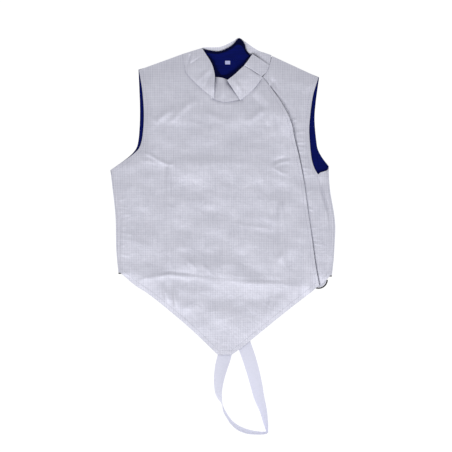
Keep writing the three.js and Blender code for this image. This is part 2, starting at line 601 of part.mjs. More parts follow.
// Upper back lining, seen in both armholes and through the neck
const liningEdge = (rows, sign) => along([
  ...LINING_SIDE.map(({ y, inset: by }) => ({ x: rows[0].x + sign * by, y })),
  ...rows.slice(1).map((p) => ({
    x: p.x + sign * (p.y < LINING_INSET.change ? LINING_INSET.low : LINING_INSET.high), y: p.y })),
], CELLS.liningSide);
const liningLeft = liningEdge(ARMHOLE.leftBack, 1);
const liningRight = liningEdge(ARMHOLE.rightBack, -1);
const liningTop = backUpper(liningLeft.at(-1), LINING_NECK_ENDS,
  neckCurve.map((p) => ({ x: p.x, y: p.y - LINING_NECK_DROP })), liningRight.at(-1));
const liningHem = along([liningLeft[0], liningRight[0]], CELLS.backWidth);
sheet("back_lining", between(liningHem, liningRight, liningTop, liningLeft),
  () => LINING_Z + LINING, LINING, COLOURS.lining);

// Collar strips: rows across from the neck seam to the upper edge
function collar(name, rows, thickness, color, seamZ, bulge) {
  const seam = stepped(rows.map((s) => ({ ...s, seamZ: s.seamZ ?? seamZ })), true);
  const edge = stepped(rows, false);
  const face = (drop) => Array.from({ length: CELLS.collarAcross + 1 }, (_, j) => {
    const v = j / CELLS.collarAcross;
    return seam.map((p, i) => {
      const q = p.clone().lerp(edge[i], v);
      const z = Math.max(thickness, q.z + bulge * Math.sin(Math.PI * v)); // never below the table
      return new THREE.Vector3(q.x, q.y, z - drop);
    });
  });
  add(name, wall(face(0), face(thickness)), color);
}
collar("collar_front", COLLAR_FRONT, WALL, COLOURS.lame, 0, COLLAR_CROWN.front);
collar("collar_side", COLLAR_SIDE, WALL, COLOURS.lame, 0, COLLAR_CROWN.side);
collar("collar_back", COLLAR_BACK, WALL, COLOURS.lame, WALL, COLLAR_CROWN.back);
collar("collar_lining", COLLAR_LINING, LINING, COLOURS.lining, LINING_Z + LINING, COLLAR_CROWN.lining);

// Small bare label inside the back of the neck
const label = new THREE.BoxGeometry(LABEL.width, LABEL.height, LABEL.thickness);
label.translate(LABEL.x, LABEL.y, LINING_Z + LINING + SEAM_GAP + LABEL.thickness / 2);
add("neck_label", label, COLOURS.label);

// Guard behind the placket: only its rounded end and the binding on it show below the hem
const guard = new THREE.Shape();
guard.moveTo(GUARD.x - GUARD.radius, GUARD.top);
guard.lineTo(GUARD.x - GUARD.radius, GUARD.y);
guard.absarc(GUARD.x, GUARD.y, GUARD.radius, Math.PI, 2 * Math.PI, false);
guard.lineTo(GUARD.x + GUARD.radius, GUARD.top);
const extruded = (shape) => new THREE.ExtrudeGeometry(shape, {
  depth: GUARD.thickness, bevelEnabled: false, curveSegments: CELLS.guardArc }).translate(0, 0, GUARD.z);
add("placket_guard", extruded(guard), COLOURS.lame);
const binding = new THREE.Shape();
const bindingInner = GUARD.radius + SEAM_GAP;
binding.absarc(GUARD.x, GUARD.y, bindingInner + BINDING_WIDTH, BINDING_ARC.from, BINDING_ARC.to, false);
binding.absarc(GUARD.x, GUARD.y, bindingInner, BINDING_ARC.to, BINDING_ARC.from, true);
add("guard_binding", extruded(binding), COLOURS.binding);

// Elastic strap between the point and the back hem
const strapCurve = new THREE.CatmullRomCurve3(
  STRAP_LINE.map((s) => new THREE.Vector3(s.x, s.y, s.turn * TURN_STEP)), false, "centripetal");
const strapRows = Array.from({ length: CELLS.strap + 1 }, (_, k) => {
  const t = k / CELLS.strap;
  const p = strapCurve.getPoint(t);
  const ahead = strapCurve.getTangent(t);
  const out = new THREE.Vector3(ahead.y, -ahead.x, 0).normalize();
  const turn = THREE.MathUtils.degToRad(p.z / TURN_STEP);
  const row = t * (STRAP_LINE.length - 1);
  const k0 = Math.min(Math.floor(row), STRAP_LINE.length - 2);
  const lift = mix(STRAP_LINE[k0].lift, STRAP_LINE[k0 + 1].lift, row - k0);
  const across = out.clone().multiplyScalar(Math.cos(turn)).add(new THREE.Vector3(0, 0, -Math.sin(turn)));
  const facing = out.clone().multiplyScalar(Math.sin(turn)).add(new THREE.Vector3(0, 0, Math.cos(turn)));
  const rest = (STRAP.width / 2) * Math.abs(Math.sin(turn))
    + (STRAP.thickness / 2) * Math.abs(Math.cos(turn));
  const centre = new THREE.Vector3(p.x, p.y, rest + lift);
  const point = (a, f) => centre.clone()
    .addScaledVector(across, (a * STRAP.width) / 2).addScaledVector(facing, (f * STRAP.thickness) / 2);
  return { upper: [point(-1, 1), point(1, 1)], lower: [point(-1, -1), point(1, -1)] };
});
add("crotch_strap", wall(strapRows.map((r) => r.upper), strapRows.map((r) => r.lower)), COLOURS.strap);

export default group;
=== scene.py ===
# %% [markdown]
# # A fencing lame, laid flat
#
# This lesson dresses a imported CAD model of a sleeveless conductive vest.
# The model comes in as a fixed frame: it gives the size and the place of every piece.
# Each cell makes one piece or one finish. Tables are in millimetres, as a pattern cutter
# would write them, and are turned into metres only when a mesh is made.

# %% Load the frame
import math
import bpy
import numpy as np
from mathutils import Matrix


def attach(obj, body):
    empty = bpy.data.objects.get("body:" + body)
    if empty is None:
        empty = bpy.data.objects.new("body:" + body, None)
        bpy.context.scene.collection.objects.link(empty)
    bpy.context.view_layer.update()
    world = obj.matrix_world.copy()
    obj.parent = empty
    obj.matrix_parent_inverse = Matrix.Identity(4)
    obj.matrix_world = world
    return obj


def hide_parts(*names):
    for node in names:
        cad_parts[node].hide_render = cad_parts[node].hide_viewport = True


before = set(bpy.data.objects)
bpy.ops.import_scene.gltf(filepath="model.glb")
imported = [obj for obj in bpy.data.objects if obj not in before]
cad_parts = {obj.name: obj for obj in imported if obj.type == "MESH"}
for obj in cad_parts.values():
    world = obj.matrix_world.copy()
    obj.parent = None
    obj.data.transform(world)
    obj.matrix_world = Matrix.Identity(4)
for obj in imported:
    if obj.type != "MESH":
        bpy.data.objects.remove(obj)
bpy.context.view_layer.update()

# %% [markdown]
# ## Camera
#
# The garment is photographed from straight above. A long lens at eight metres keeps the
# raised collar and strap from growing, and its aim is the middle of the photograph.

# %% Camera
MM = 0.001
PHOTO_WIDTH_MM = 994.4          # 452 pixels at 2.2 mm
PHOTO_CENTRE_MM = (7.0, 22.1)
LENS_MM, SENSOR_MM = 300.0, 36.0


def in_scene(name, data):
    """A new object with its data, linked to the scene."""
    obj = bpy.data.objects.new(name, data)
    bpy.context.collection.objects.link(obj)
    return obj


camera = in_scene("camera", bpy.data.cameras.new("camera"))
camera.data.lens = LENS_MM
camera.data.sensor_width = SENSOR_MM
camera.location = (PHOTO_CENTRE_MM[0] * MM, PHOTO_CENTRE_MM[1] * MM,
                   PHOTO_WIDTH_MM * MM * LENS_MM / SENSOR_MM)
bpy.context.scene.camera = camera
bpy.context.scene.view_settings.view_transform = "Standard"
print("camera height:", round(camera.location.z, 2), "m")

# %% [markdown]
# ## Colours and nodes
#
# Colours are picked as sRGB hex values, and Blender works in linear light, so one function
# converts them. One function fills a node's inputs with values or links, and one adds a node.

# %% Colour and node helpers
def linear(hex_colour):
    """An sRGB hex colour as linear red, green, blue and alpha."""
    parts = [int(hex_colour[i:i + 2], 16) / 255 for i in (1, 3, 5)]
    return [p / 12.92 if p <= 0.04045 else ((p + 0.055) / 1.055) ** 2.4 for p in parts] + [1.0]


def fill(node, **inputs):
    """Fills a node's inputs, by name or as i and a number, with values or links from sockets."""
    for name, value in inputs.items():
        socket = node.inputs[int(name[1:]) if name[1:].isdigit() else name.replace("_", " ")]
        if isinstance(value, bpy.types.NodeSocket):
            node.id_data.links.new(value, socket)
        else:
            socket.default_value = value


def add_node(tree, kind, settings=None, **inputs):
    """A shader node of a kind, with its settings and its inputs."""
    node = tree.nodes.new("ShaderNode" + kind)
    for name, value in (settings or {}).items():
        setattr(node, name, value)
    fill(node, **inputs)
    return node


def new_material(name):
    """An empty material with its shader; returns the material, its tree and the shader."""
    material = bpy.data.materials.new(name)
    material.use_nodes = True
    return material, material.node_tree, material.node_tree.nodes["Principled BSDF"]


# %% [markdown]
# ## Light and table
#
# Such pictures are taken on a light table: a white acrylic sheet lit from below, which
# takes away the shadows round the garment. A panel high beyond the point models the folds:
# slopes that face it are bright, so the shoulders, which face away, are the darkest cloth.
# A second, weaker panel and an even white room fill the shadows.

# %% Studio
world = bpy.data.worlds.new("studio")
bpy.context.scene.world = world
world.use_nodes = True
fill(world.node_tree.nodes["Background"], Color=linear("#FFFFFF"), Strength=0.66)


def softbox(name, place, size, power):
    """A square area light at a place, turned to the garment's middle."""
    light = bpy.data.lights.new(name, "AREA")
    light.size = size
    light.energy = power
    lamp = in_scene(name, light)
    lamp.location = place
    lamp.rotation_euler = (-lamp.location).to_track_quat("-Z", "Y").to_euler()


softbox("key_panel", place=(-0.3, -1.7, 2.6), size=1.4, power=19)
softbox("fill_panel", place=(1.2, -1.2, 3.2), size=2.0, power=8)

FLOOR_REACH, FLOOR_Z = 6, -0.0004     # metres
floor_mesh = bpy.data.meshes.new("floor")
floor_mesh.from_pydata([(FLOOR_REACH * i, FLOOR_REACH * j, FLOOR_Z)
                        for i, j in ((-1, -1), (1, -1), (1, 1), (-1, 1))], [], [(0, 1, 2, 3)])
floor = in_scene("floor", floor_mesh)
acrylic, _, shader = new_material("lit_white_acrylic_sheet")
fill(shader, Base_Color=linear("#707070"), Roughness=0.8, Specular_IOR_Level=0.1,
     Emission_Color=linear("#FFFFFF"), Emission_Strength=0.92)
floor_mesh.materials.append(acrylic)

# %% [markdown]
# ## Lame cloth
#
# The real cloth is a ripstop weave of polyester with a metal-coated yarn. It is silver with
# a cool tint, about two thirds metal, and dull because the yarns are fine. Its threads are
# about 0.3 mm apart.

# %% Lame material
LAME_CHECK_MM = 5.1
LAME_THREAD_MM = 0.9    # its plain weave, drawn three times coarser than real
YARN_MM = 2.4           # width of a lighter or darker group of yarns
YARN_LENGTH_MM = 30.0   # and how long it stays so
DENT_MM = 17.0          # the cloth's small dents
CLOUD_MM = 1000 / 22    # large soft patches of tone


def waves_across(tree, place, axis, pitch_mm):
    """Soft lines across an axis, one pitch apart, as a value from -1 to 1."""
    axes = add_node(tree, "SeparateXYZ", Vector=place)
    turns = add_node(tree, "Math", {"operation": "MULTIPLY"},
                     i0=axes.outputs[axis], i1=2 * math.pi / (pitch_mm * MM))
    return add_node(tree, "Math", {"operation": "SINE"}, i0=turns.outputs[0]).outputs[0]


def yarns(tree, place, axis):
    """Noise drawn out along an axis, from 0 to 1: streaks of uneven yarn tone; on the lame they also paint
    the metal yarn's sheen.
    """
    across, along = 1 / (YARN_MM * MM), 1 / (YARN_LENGTH_MM * MM)
    scale = (along, across, along) if axis == "X" else (across, along, along)
    moved = add_node(tree, "Mapping", Vector=place, Scale=scale).outputs[0]
    noise = add_node(tree, "TexNoise", Vector=moved, Scale=1.0, Detail=1.0, Roughness=0.5)
    return noise.outputs["Fac"]


def weighted(tree, *pairs):
    """The sum of values, each times its weight."""
    total = None
    for value, weight in pairs:
        total = add_node(tree, "Math", {"operation": "MULTIPLY_ADD"},
                         i0=value, i1=weight, i2=0.0 if total is None else total).outputs[0]
    return total


def lame_cloth():
    """Silver ripstop: check, yarn streaks with painted sheen, clouds and dents, from one set of object
    coordinates.
    """
    material, tree, shader = new_material("silver_ripstop_lame")
    place = add_node(tree, "TexCoord").outputs["Object"]
    upright, level = (waves_across(tree, place, axis, LAME_CHECK_MM) for axis in "XY")
    clouds = add_node(tree, "TexNoise", Vector=place, Scale=1 / (CLOUD_MM * MM),
                      Detail=4.0, Roughness=0.6)
    # The yarn streaks are partly uneven yarn tone and partly painted highlight: the sheen of the metal yarn
    # put in the colour.
    tone = weighted(tree, (upright, 0.075), (level, 0.05), (yarns(tree, place, "Y"), 0.28),
                    (yarns(tree, place, "X"), 0.2), (clouds.outputs["Fac"], 0.3))
    colour = add_node(tree, "ValToRGB", Fac=tone)
    low, high = colour.color_ramp.elements
    low.position, high.position = 0.05, 0.7
    low.color, high.color = linear("#BFC0CE"), linear("#E6E6F2")
    dents = add_node(tree, "TexNoise", Vector=place, Scale=1 / (DENT_MM * MM), Detail=4.0,
                     Roughness=0.55, Distortion=0.6)
    papery = add_node(tree, "Bump", Height=dents.outputs["Fac"], Strength=0.34, Distance=0.0022)
    fine = [(waves_across(tree, place, axis, LAME_THREAD_MM), 0.3) for axis in "XY"]
    threads = weighted(tree, (upright, 0.4), (level, 0.3), *fine)
    woven = add_node(tree, "Bump", Height=threads, Strength=0.12, Distance=0.0003,
                     Normal=papery.outputs["Normal"])
    fill(shader, Base_Color=colour.outputs["Color"], Normal=woven.outputs["Normal"],
         Metallic=0.65, Roughness=0.48)
    return material


LAME = lame_cloth()

# %% [markdown]
# ## Lining
#
# The inside is a royal blue nylon taffeta: a close plain weave with little gloss. The
# collar's inner edge is faced with the same cloth in navy; in front the navy strip is
# partly painted shade, where the raised collar shades the lining.

# %% Lining material
TAFFETA_THREAD_MM = 1.2


def matte(tree, shader, colour, height, strength, depth_mm, roughness, specular):
    """Finishes a matte cloth: its colour, the bump of its threads, and how it shines."""
    bump = add_node(tree, "Bump", Height=height, Strength=strength, Distance=depth_mm * MM)
    fill(shader, Base_Color=colour, Normal=bump.outputs["Normal"], Roughness=roughness,
         Specular_IOR_Level=specular)


def taffeta(name, dark, light):
    """Blue taffeta between two tones."""
    material, tree, shader = new_material(name)
    place = add_node(tree, "TexCoord").outputs["Object"]
    ribs = yarns(tree, place, "X")
    tone = add_node(tree, "Mix", {"data_type": "RGBA"}, i0=ribs, i6=linear(dark), i7=linear(light))
    check = weighted(tree, *((waves_across(tree, place, axis, TAFFETA_THREAD_MM), 0.5) for axis in "XY"),
                     (ribs, 2.0))
    matte(tree, shader, tone.outputs[2], check, strength=0.2, depth_mm=0.3, roughness=0.75, specular=0.06)
    return material


LINING = taffeta("royal_blue_taffeta", "#020B3E", "#081470")
# Navy: the facing, and painted shade under the front collar's edge.
NAVY_FACING_AND_SHADE = taffeta("navy_taffeta_facing_and_painted_shade", "#010322", "#03073A")

# %% [markdown]
# ## Webbing, binding, label and thread
#
# The strap is knitted elastic: fine ribs run along it, so its texture follows the strap's
# own length through a UV map. The binding is a dark woven tape, the label a bare satin ribbon.

# %% Trim materials
RIB_MM = 2.6       # ribs of the elastic, drawn coarser than the real 1 mm
STITCH_ROW_MM = 1.4
STRAP_WIDTH_MM = 30.0


def elastic():
    """White knitted elastic, ribbed along its length, with painted highlight on the ribs' tops."""
    material, tree, shader = new_material("white_knitted_elastic")
    uv = add_node(tree, "UVMap", {"uv_map": "strap"}).outputs["UV"]
    height = weighted(tree, (waves_across(tree, uv, "Y", RIB_MM), 1.0),
                      (waves_across(tree, uv, "X", STITCH_ROW_MM), 0.3))
    # Painted highlight and shade: the ribs' tops are coloured lighter and their grooves darker.
    tone = add_node(tree, "Math", {"operation": "MULTIPLY_ADD"}, i0=height, i1=0.35, i2=0.5)
    ramp = add_node(tree, "ValToRGB", Fac=tone.outputs[0])
    for element, colour in zip(ramp.color_ramp.elements, ("#E5E6F9", "#EFF0FF")):
        element.color = linear(colour)
    matte(tree, shader, ramp.outputs["Color"], height, strength=0.25, depth_mm=0.4, roughness=0.85,
          specular=0.2)
    return material


def plain_weave(name, colour, roughness, thread_mm, strength=0.3):
    """A plain woven tape or thread of one colour, with painted highlight: a little lighter on its raised
    threads.
    """
    material, tree, shader = new_material(name)
    place = add_node(tree, "TexCoord").outputs["Object"]
    check = weighted(tree, *((waves_across(tree, place, axis, thread_mm), 0.25) for axis in "XY"))
    # Painted highlight: the raised threads are coloured lighter than the tape's own colour.
    lift = add_node(tree, "Math", {"operation": "ADD"}, i0=check, i1=0.5).outputs[0]
    lighter = [min(1, 1.25 * c) for c in linear(colour)[:3]] + [1]
    tint = add_node(tree, "Mix", {"data_type": "RGBA"}, i0=lift, i6=linear(colour), i7=lighter)
    matte(tree, shader, tint.outputs[2], check, strength, depth_mm=0.3, roughness=roughness, specular=0.25)
    return material


ELASTIC = elastic()
BINDING = plain_weave("charcoal_binding_tape", "#242428", roughness=0.7, thread_mm=1.0)
SATIN = plain_weave("white_satin_ribbon", "#B2B6E0", roughness=0.5, thread_mm=0.8, strength=0.1)
THREAD = plain_weave("grey_polyester_thread", "#B0B0BE", roughness=0.6, thread_mm=0.5)
print("materials:", [m.name for m in bpy.data.materials])

# %% [markdown]
# ## Lines and grids
#
# Every panel is a grid between four edges, as a cutter lays the grain between the seams.
# A coarse grid is evened out until its lines never cross, and then refined with smooth
# curves that break only at the real corners. Heights come later from each point's x and y.

# %% Grid helpers
def smoothstep(t):
    t = np.clip(t, 0.0, 1.0)
    return t * t * (3 - 2 * t)


def cubic(t, a, b, slope_a, slope_b):
    """A smooth line from a to b, t of the way along, with a slope at each end."""
    return ((2 * t**3 - 3 * t**2 + 1) * a + (t**3 - 2 * t**2 + t) * slope_a
            + (3 * t**2 - 2 * t**3) * b + (t**3 - t**2) * slope_b)


def hermite(points, steps):
    """A smooth curve through points, each stretch cut into steps; the first axis runs along it."""
    p = np.asarray(points, float)
    m = np.empty_like(p)
    m[1:-1] = (p[2:] - p[:-2]) / 2
    m[0], m[-1] = p[1] - p[0], p[-1] - p[-2]
    return np.array([cubic(k / steps, p[i], p[i + 1], m[i], m[i + 1])
                     for i in range(len(p) - 1) for k in range(steps)] + [p[-1]])


def unit(vectors):
    return vectors / np.linalg.norm(vectors, axis=-1, keepdims=True)


def distances(line):
    """How far along a line each of its points is."""
    return np.concatenate([[0], np.cumsum(np.linalg.norm(np.diff(line, axis=0), axis=1))])


def spaced(points, cells):
    """Evenly spaced points along the smooth line through a table's points."""
    line = hermite(points, 24)
    length = distances(line[:, :2])
    want = np.linspace(0, length[-1], cells + 1)
    return np.stack([np.interp(want, length, line[:, k]) for k in range(line.shape[1])], 1)


def joined(*lines):
    """Lines end to end; shared points are kept once."""
    return np.concatenate([line if i == 0 else line[1:] for i, line in enumerate(lines)])


def between(bottom, right, top, left, rounds=60):
    """A grid of plan points between four edges, evened out so that its lines never cross."""
    nu, nv = len(bottom) - 1, len(left) - 1
    u = np.linspace(0, 1, nu + 1)[None, :, None]
    v = np.linspace(0, 1, nv + 1)[:, None, None]
    b, t, l, r = bottom[None, :, :2], top[None, :, :2], left[:, None, :2], right[:, None, :2]
    grid = ((1 - v) * b + v * t + (1 - u) * l + u * r - (1 - u) * (1 - v) * b[:, :1]
            - u * (1 - v) * b[:, -1:] - (1 - u) * v * t[:, :1] - u * v * t[:, -1:])
    for _ in range(rounds):
        for j in range(1, nv):
            for i in range(1, nu):
                w, e, s, n = grid[j, i - 1], grid[j, i + 1], grid[j - 1, i], grid[j + 1, i]
                du, dv = (e - w) / 2, (n - s) / 2
                aa, bb, cc = dv @ dv, du @ dv, du @ du
                twist = grid[j + 1, i + 1] - grid[j + 1, i - 1] - grid[j - 1, i + 1] + grid[j - 1, i - 1]
                grid[j, i] = (aa * (e + w) + cc * (n + s) - bb / 2 * twist) / (2 * (aa + cc))
    return grid


def refined(grid, steps, breaks_across=(), breaks_up=()):
    """The grid with each cell cut into steps, on smooth curves that break at the named lines."""
    def along(g, breaks):
        stops = [0, *sorted(breaks), len(g) - 1]
        return joined(*[hermite(g[a:b + 1], steps) for a, b in zip(stops, stops[1:])])
    up = along(grid, breaks_up)
    return along(up.transpose(1, 0, 2), breaks_across).transpose(1, 0, 2)


def nearest_on(x, y, line):
    """How far each point is from a line in plan, and the line's third column there, if it has one."""
    line = np.asarray(line, float)
    best, value = np.full(np.shape(x), 1e9), np.zeros(np.shape(x))
    for a, b in zip(line[:-1], line[1:]):
        d = b - a
        t = np.clip(((x - a[0]) * d[0] + (y - a[1]) * d[1]) / max(d[:2] @ d[:2], 1e-9), 0, 1)
        gap = np.hypot(x - a[0] - t * d[0], y - a[1] - t * d[1])
        closer = gap < best
        best = np.where(closer, gap, best)
        if len(a) > 2:
            value = np.where(closer, a[2] + t * d[2], value)
    return best, value


def distance_to(x, y, line):
    return nearest_on(x, y, line)[0]


def at(table, value, column=1):
    """A column of a table where its first column has a value, on a smooth line between rows."""
    xs, ys = np.array([(row[0], row[column]) for row in table], float).T
    slope = np.gradient(ys, xs)
    value = np.clip(value, xs[0], xs[-1])
    k = np.clip(np.searchsorted(xs, value, side="right") - 1, 0, len(xs) - 2)
    h = xs[k + 1] - xs[k]
    return cubic((value - xs[k]) / h, ys[k], ys[k + 1], h * slope[k], h * slope[k + 1])


# %% [markdown]
# ## From a grid to a cloth shell
#
# A cloth is two faces with a rim. The upper face and the rim take the outer cloth, the
# lower face its lining, so that the inside is right from a low angle too.

# %% Shell helper
def placed(name, mesh, node):
    """A mesh as an object that rides on the garment and may stand for a node."""
    obj = in_scene(name, mesh)
    if node:
        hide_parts(node)
    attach(obj, "root")
    return obj


def new_mesh(name, points_mm, faces, *materials):
    mesh = bpy.data.meshes.new(name)
    mesh.from_pydata((points_mm.reshape(-1, 3) * MM).tolist(), [], faces)
    for material in materials:
        mesh.materials.append(material)
    return mesh


def shell(name, upper, lower, outside, inside, node, uv=None, rim=(0, 0, 0, 0)):
    """A closed cloth wall between two grids of points in millimetres. rim says for the first row,
    the last row and the two sides whether the edge is of the outer cloth (0) or the inner (1)."""
    rows, columns = upper.shape[:2]
    count = rows * columns
    index = np.arange(count).reshape(rows, columns)
    quads = np.stack([index[:-1, :-1], index[:-1, 1:], index[1:, 1:], index[1:, :-1]], -1).reshape(-1, 4)
    faces = [quads, quads[:, ::-1] + count]
    which = [0] * len(quads) + [1] * len(quads)
    for edge, cloth in zip((index[0], index[-1, ::-1], index[::-1, 0], index[:, -1]), rim):
        a, b = edge[:-1], edge[1:]
        faces.append(np.stack([a, a + count, b + count, b], -1))
        which += [cloth] * len(a)
    mesh = new_mesh(name, np.stack([upper, lower]), np.concatenate(faces).tolist(), outside, inside)
    mesh.polygons.foreach_set("material_index", which)
    mesh.polygons.foreach_set("use_smooth", np.arange(len(mesh.polygons)) < 2 * len(quads))
    cut = {key for p in list(mesh.polygons)[2 * len(quads):] for key in p.edge_keys}
    mesh.edges.foreach_set("use_edge_sharp", [key in cut for key in mesh.edge_keys])
    if uv is not None:
        layer = mesh.uv_layers.new(name="strap")
        corner = np.zeros(len(mesh.loops), int)
        mesh.loops.foreach_get("vertex_index", corner)
        layer.data.foreach_set("uv", np.tile(uv.reshape(-1, 2), (2, 1))[corner].reshape(-1))
    mesh.validate()
    area = sum(p.area for p in mesh.polygons if p.material_index == 0 and p.use_smooth)
    print(f"{name}: {len(mesh.polygons)} faces, {area:.4f} m2 of cloth")
    return placed(name, mesh, node)


def lifted(plan, z):
    """A grid in plan, given its heights."""
    return np.concatenate([plan[..., :2], np.asarray(z)[..., None]], -1)


# %% [markdown]
# ## The garment's lines
#
# These are the pattern's measures, the same as the CAD's: the side silhouettes with the
# strip of the back that shows in front, the armholes, the hem with its point, the placket
# and the neck. The seams have no gap here: the cloths meet in a shallow groove, as sewn
# cloth does.

# %% Measures
CLOTH = 1.3            # how thick the dressed cloth looks, with its seam allowance
LINING_THICK = 0.8
WALL, SEAM_GAP = 1.6, 0.3   # the CAD's wall and gap, which set the levels
SIDE_FOLD_RADIUS = 5.0
SIDE_LEVEL = 2 * SIDE_FOLD_RADIUS
PLACKET_OVERLAP, PLACKET_UNDER, PLACKET_FADE = 20.0, 1.5, 5
PLACKET_BLEND = 22.0
SIDE_CELLS, ARM_CELLS, SHOULDER_CELLS = 13, 13, 8
HEM_CELLS = (16, 3, 11)

SILHOUETTE, STRIP = 1, 2   # columns of the sides: y, the silhouette's x, the turned strip's width
LEFT_SIDE = [(-80, -229.8, 3.7), (-33, -234.1, 7), (47, -236.3, 10), (100, -242, 6), (144.7, -247.3, 1.2)]
RIGHT_SIDE = [(-86, 240, 3.5), (-52, 243.8, 5.5), (-17, 246, 8.5), (24, 247.3, 11), (55, 243.8, 12),
              (73, 240.7, 14.5), (90, 237.5, 16.5), (117, 234.4, 19.5), (135, 233.6, 24.5)]
RIGHT_OUTLINE = RIGHT_SIDE + [(153.5, 233.6, 24.5)]
LEFT_ARM_FRONT = [(-245.5, 144.7), (-200.9, 177), (-186.6, 189.3), (-177.8, 211.3),
                  (-173.4, 262), (-176.7, 317.8), (-184.4, 365.3)]
LEFT_ARM_BACK = [(-247.3, 144.7), (-205, 176), (-189.9, 193.7), (-184.4, 222.3),
                 (-182.2, 277.3), (-185.5, 366.3)]
RIGHT_ARM_FRONT = [(208.8, 135), (196.5, 163), (190.3, 218.4), (191, 255),
                   (198.2, 308.8), (210.5, 348.8)]
RIGHT_ARM_BACK = [(233.6, 153.5), (215.8, 177.2), (207.9, 194.8), (202, 249.8),
                  (203.9, 289.2), (211.9, 349.4)]
HEM_LEFT = [(-225.8, -80), (-193.4, -108.1), (-161.9, -128.6), (-116.8, -164.7),
            (-67.1, -207.4), (-11.7, -260.6)]
HEM_POINT = [(-11.7, -260.6), (20.9, -260.6)]
HEM_RIGHT = [(20.9, -260.6), (60.9, -229.8), (113.3, -186.9), (158.4, -151),
             (203.9, -115.8), (211.6, -108)]
HEM_SIDE = [(191.6, -92), (209, -98), (213.4, -110), (229.2, -94.5), (235.8, -86)]
PLACKET = [(211.6, -108), (203.3, -61.5), (196.2, -8.7), (186.6, 57.3), (178.6, 116.7),
           (168, 171), (157.3, 215.7), (148, 255), (122.5, 302.6), (88.4, 348.5)]
RIGHT_SHOULDER = [(108.2, 396.1), (210.5, 348.8)]
BACK_NECK = [(-55, 389.6), (-40, 387.5), (-15, 386.8), (12, 386.8), (30, 386.8), (48, 387.2), (76, 390.4)]


def side_line(table, sign=0):
    """A side's line on even rows: the silhouette, or the seam that lies a strip's width inside it."""
    ys = np.linspace(table[0][0], table[-1][0], SIDE_CELLS + 1)
    return np.stack([at(table, ys, SILHOUETTE) - sign * at(table, ys, STRIP), ys], 1)


seam_left, seam_right = side_line(LEFT_SIDE, -1), side_line(RIGHT_SIDE, 1)
print("chest width:", round(RIGHT_SIDE[3][SILHOUETTE] - LEFT_SIDE[-1][SILHOUETTE]), "mm")

# %% [markdown]
# ## Collar sections
#
# The stand collar lies pressed on itself. Each row is a section from the neck seam to the
# upper edge, with its heights. The two pleats are pairs of rows, over and tucked under. Their
# heights differ a little from the CAD's, so that the edges throw the shadow in the photo.

# %% Collar tables
COLLAR_FRONT = [  # seam x, y, z, then upper edge x, y, z
    ("left_end", -89, 400, 7, -45.8, 413.4, 10.6),
    ("left_turn", -84.6, 377, 9.4, -36, 398, 13),
    ("left_side", -78.6, 356.5, 11, -26, 382, 14.4),
    ("left_front", -49.1, 325.9, 12, -20, 366, 15.4),
    ("pleat_a_over", -19.8, 302.3, 12.4, -17.6, 349.4, 17),
    ("pleat_a_under", -23, 303, 10.4, -23, 350, 6),
    ("centre", 4, 294.4, 12, -3, 348, 10.6),
    ("pleat_b_under", 42, 300.8, 10.4, 17, 341.4, 5.5),
    ("pleat_b_over", 38.5, 299.3, 12.4, 9.6, 341.8, 17),
    ("right_front", 58, 314, 13, 26, 355, 16.2),
    ("right_side", 72.4, 328.2, 13.6, 36, 364.5, 16),
    ("overlap_end", 87.6, 348.5, 13.6, 46, 373.6, 15.6),
]
COLLAR_SIDE = [
    ("under_front", 83.4, 346.6, 11.6, 41, 366.5, 13.6),
    ("seam_line", 87.8, 352.4, 11.8, 46.9, 374.8, 14),
    ("middle", 96.4, 361.4, 11.4, 55.5, 386, 13.8),
    ("end", 102.4, 375.4, 10, 65, 400.3, 12.4),
]
COLLAR_BACK = [
    ("left_end", -84, 396.6, 1.6, -82, 401.3, 3.4),
    ("left", -55, 389.6, 1.6, -56, 406.5, 5),
    ("left_tip", -40, 387.5, 1.6, -42, 414.6, 6),
    ("left_dip", -15, 386.8, 1.6, -6.2, 416, 6),
    ("rise", 12, 386.8, 1.6, 21.3, 428, 7),
    ("peak", 30, 386.8, 1.6, 35.2, 435.6, 8),
    ("right_fall", 48, 387.2, 1.8, 49, 427.5, 6.8),
    ("right_turn", 66, 389.6, 2.2, 65, 416, 6.6),
    ("right", 80, 389.6, 5.3, 79, 407.4, 6.4),
    ("right_low", 91, 381.4, 5.8, 92, 403, 5.8),
    ("right_end", 102.6, 375.6, 6.4, 107.2, 397.8, 4.6),
]
COLLAR_LINING = [
    ("left_tip", -62, 390.4, 3.1, -46.8, 412.6, 8),
    ("left_dip", -40, 387.6, 3.1, -29.7, 408.2, 7.3),
    ("dip", -15, 386.8, 3.1, -6.2, 406.4, 7.2),
    ("rise", 10, 386.8, 3.1, 19.4, 418.6, 9.2),
    ("peak", 27, 386.8, 3.1, 35.2, 434.4, 10.6),
    ("right_fall", 40, 386.8, 3.1, 46.9, 424, 9.6),
    ("right_dip", 48, 387.1, 3.3, 52.8, 406.8, 8),
    ("right_tip", 60, 388.5, 3.5, 63.4, 396.6, 7),
]


def line_of(rows, first, steps=2):
    """A collar's smooth seam line or upper edge, by the first of its columns."""
    return hermite([row[first:first + 3] for row in rows], steps)


SEAM, EDGE = 1, 4
neck_seam, side_seam = line_of(COLLAR_FRONT, SEAM), line_of(COLLAR_SIDE, SEAM)
placket_line = spaced(PLACKET[:-1] + [tuple(neck_seam[-1, :2])], 2 * SIDE_CELLS)
hem_line = joined(*map(spaced, (HEM_LEFT, HEM_POINT, HEM_RIGHT), HEM_CELLS))
hem_line[0], hem_line[-1] = seam_left[0], placket_line[0]
shoulder_left = spaced([LEFT_ARM_FRONT[-1], tuple(neck_seam[0, :2])], SHOULDER_CELLS)
armhole_left = spaced([tuple(seam_left[-1])] + LEFT_ARM_FRONT[1:], ARM_CELLS)
armhole_right = spaced([tuple(seam_right[-1])] + RIGHT_ARM_FRONT[1:], ARM_CELLS)
print("hem length:", round(distances(hem_line)[-1]), "mm")

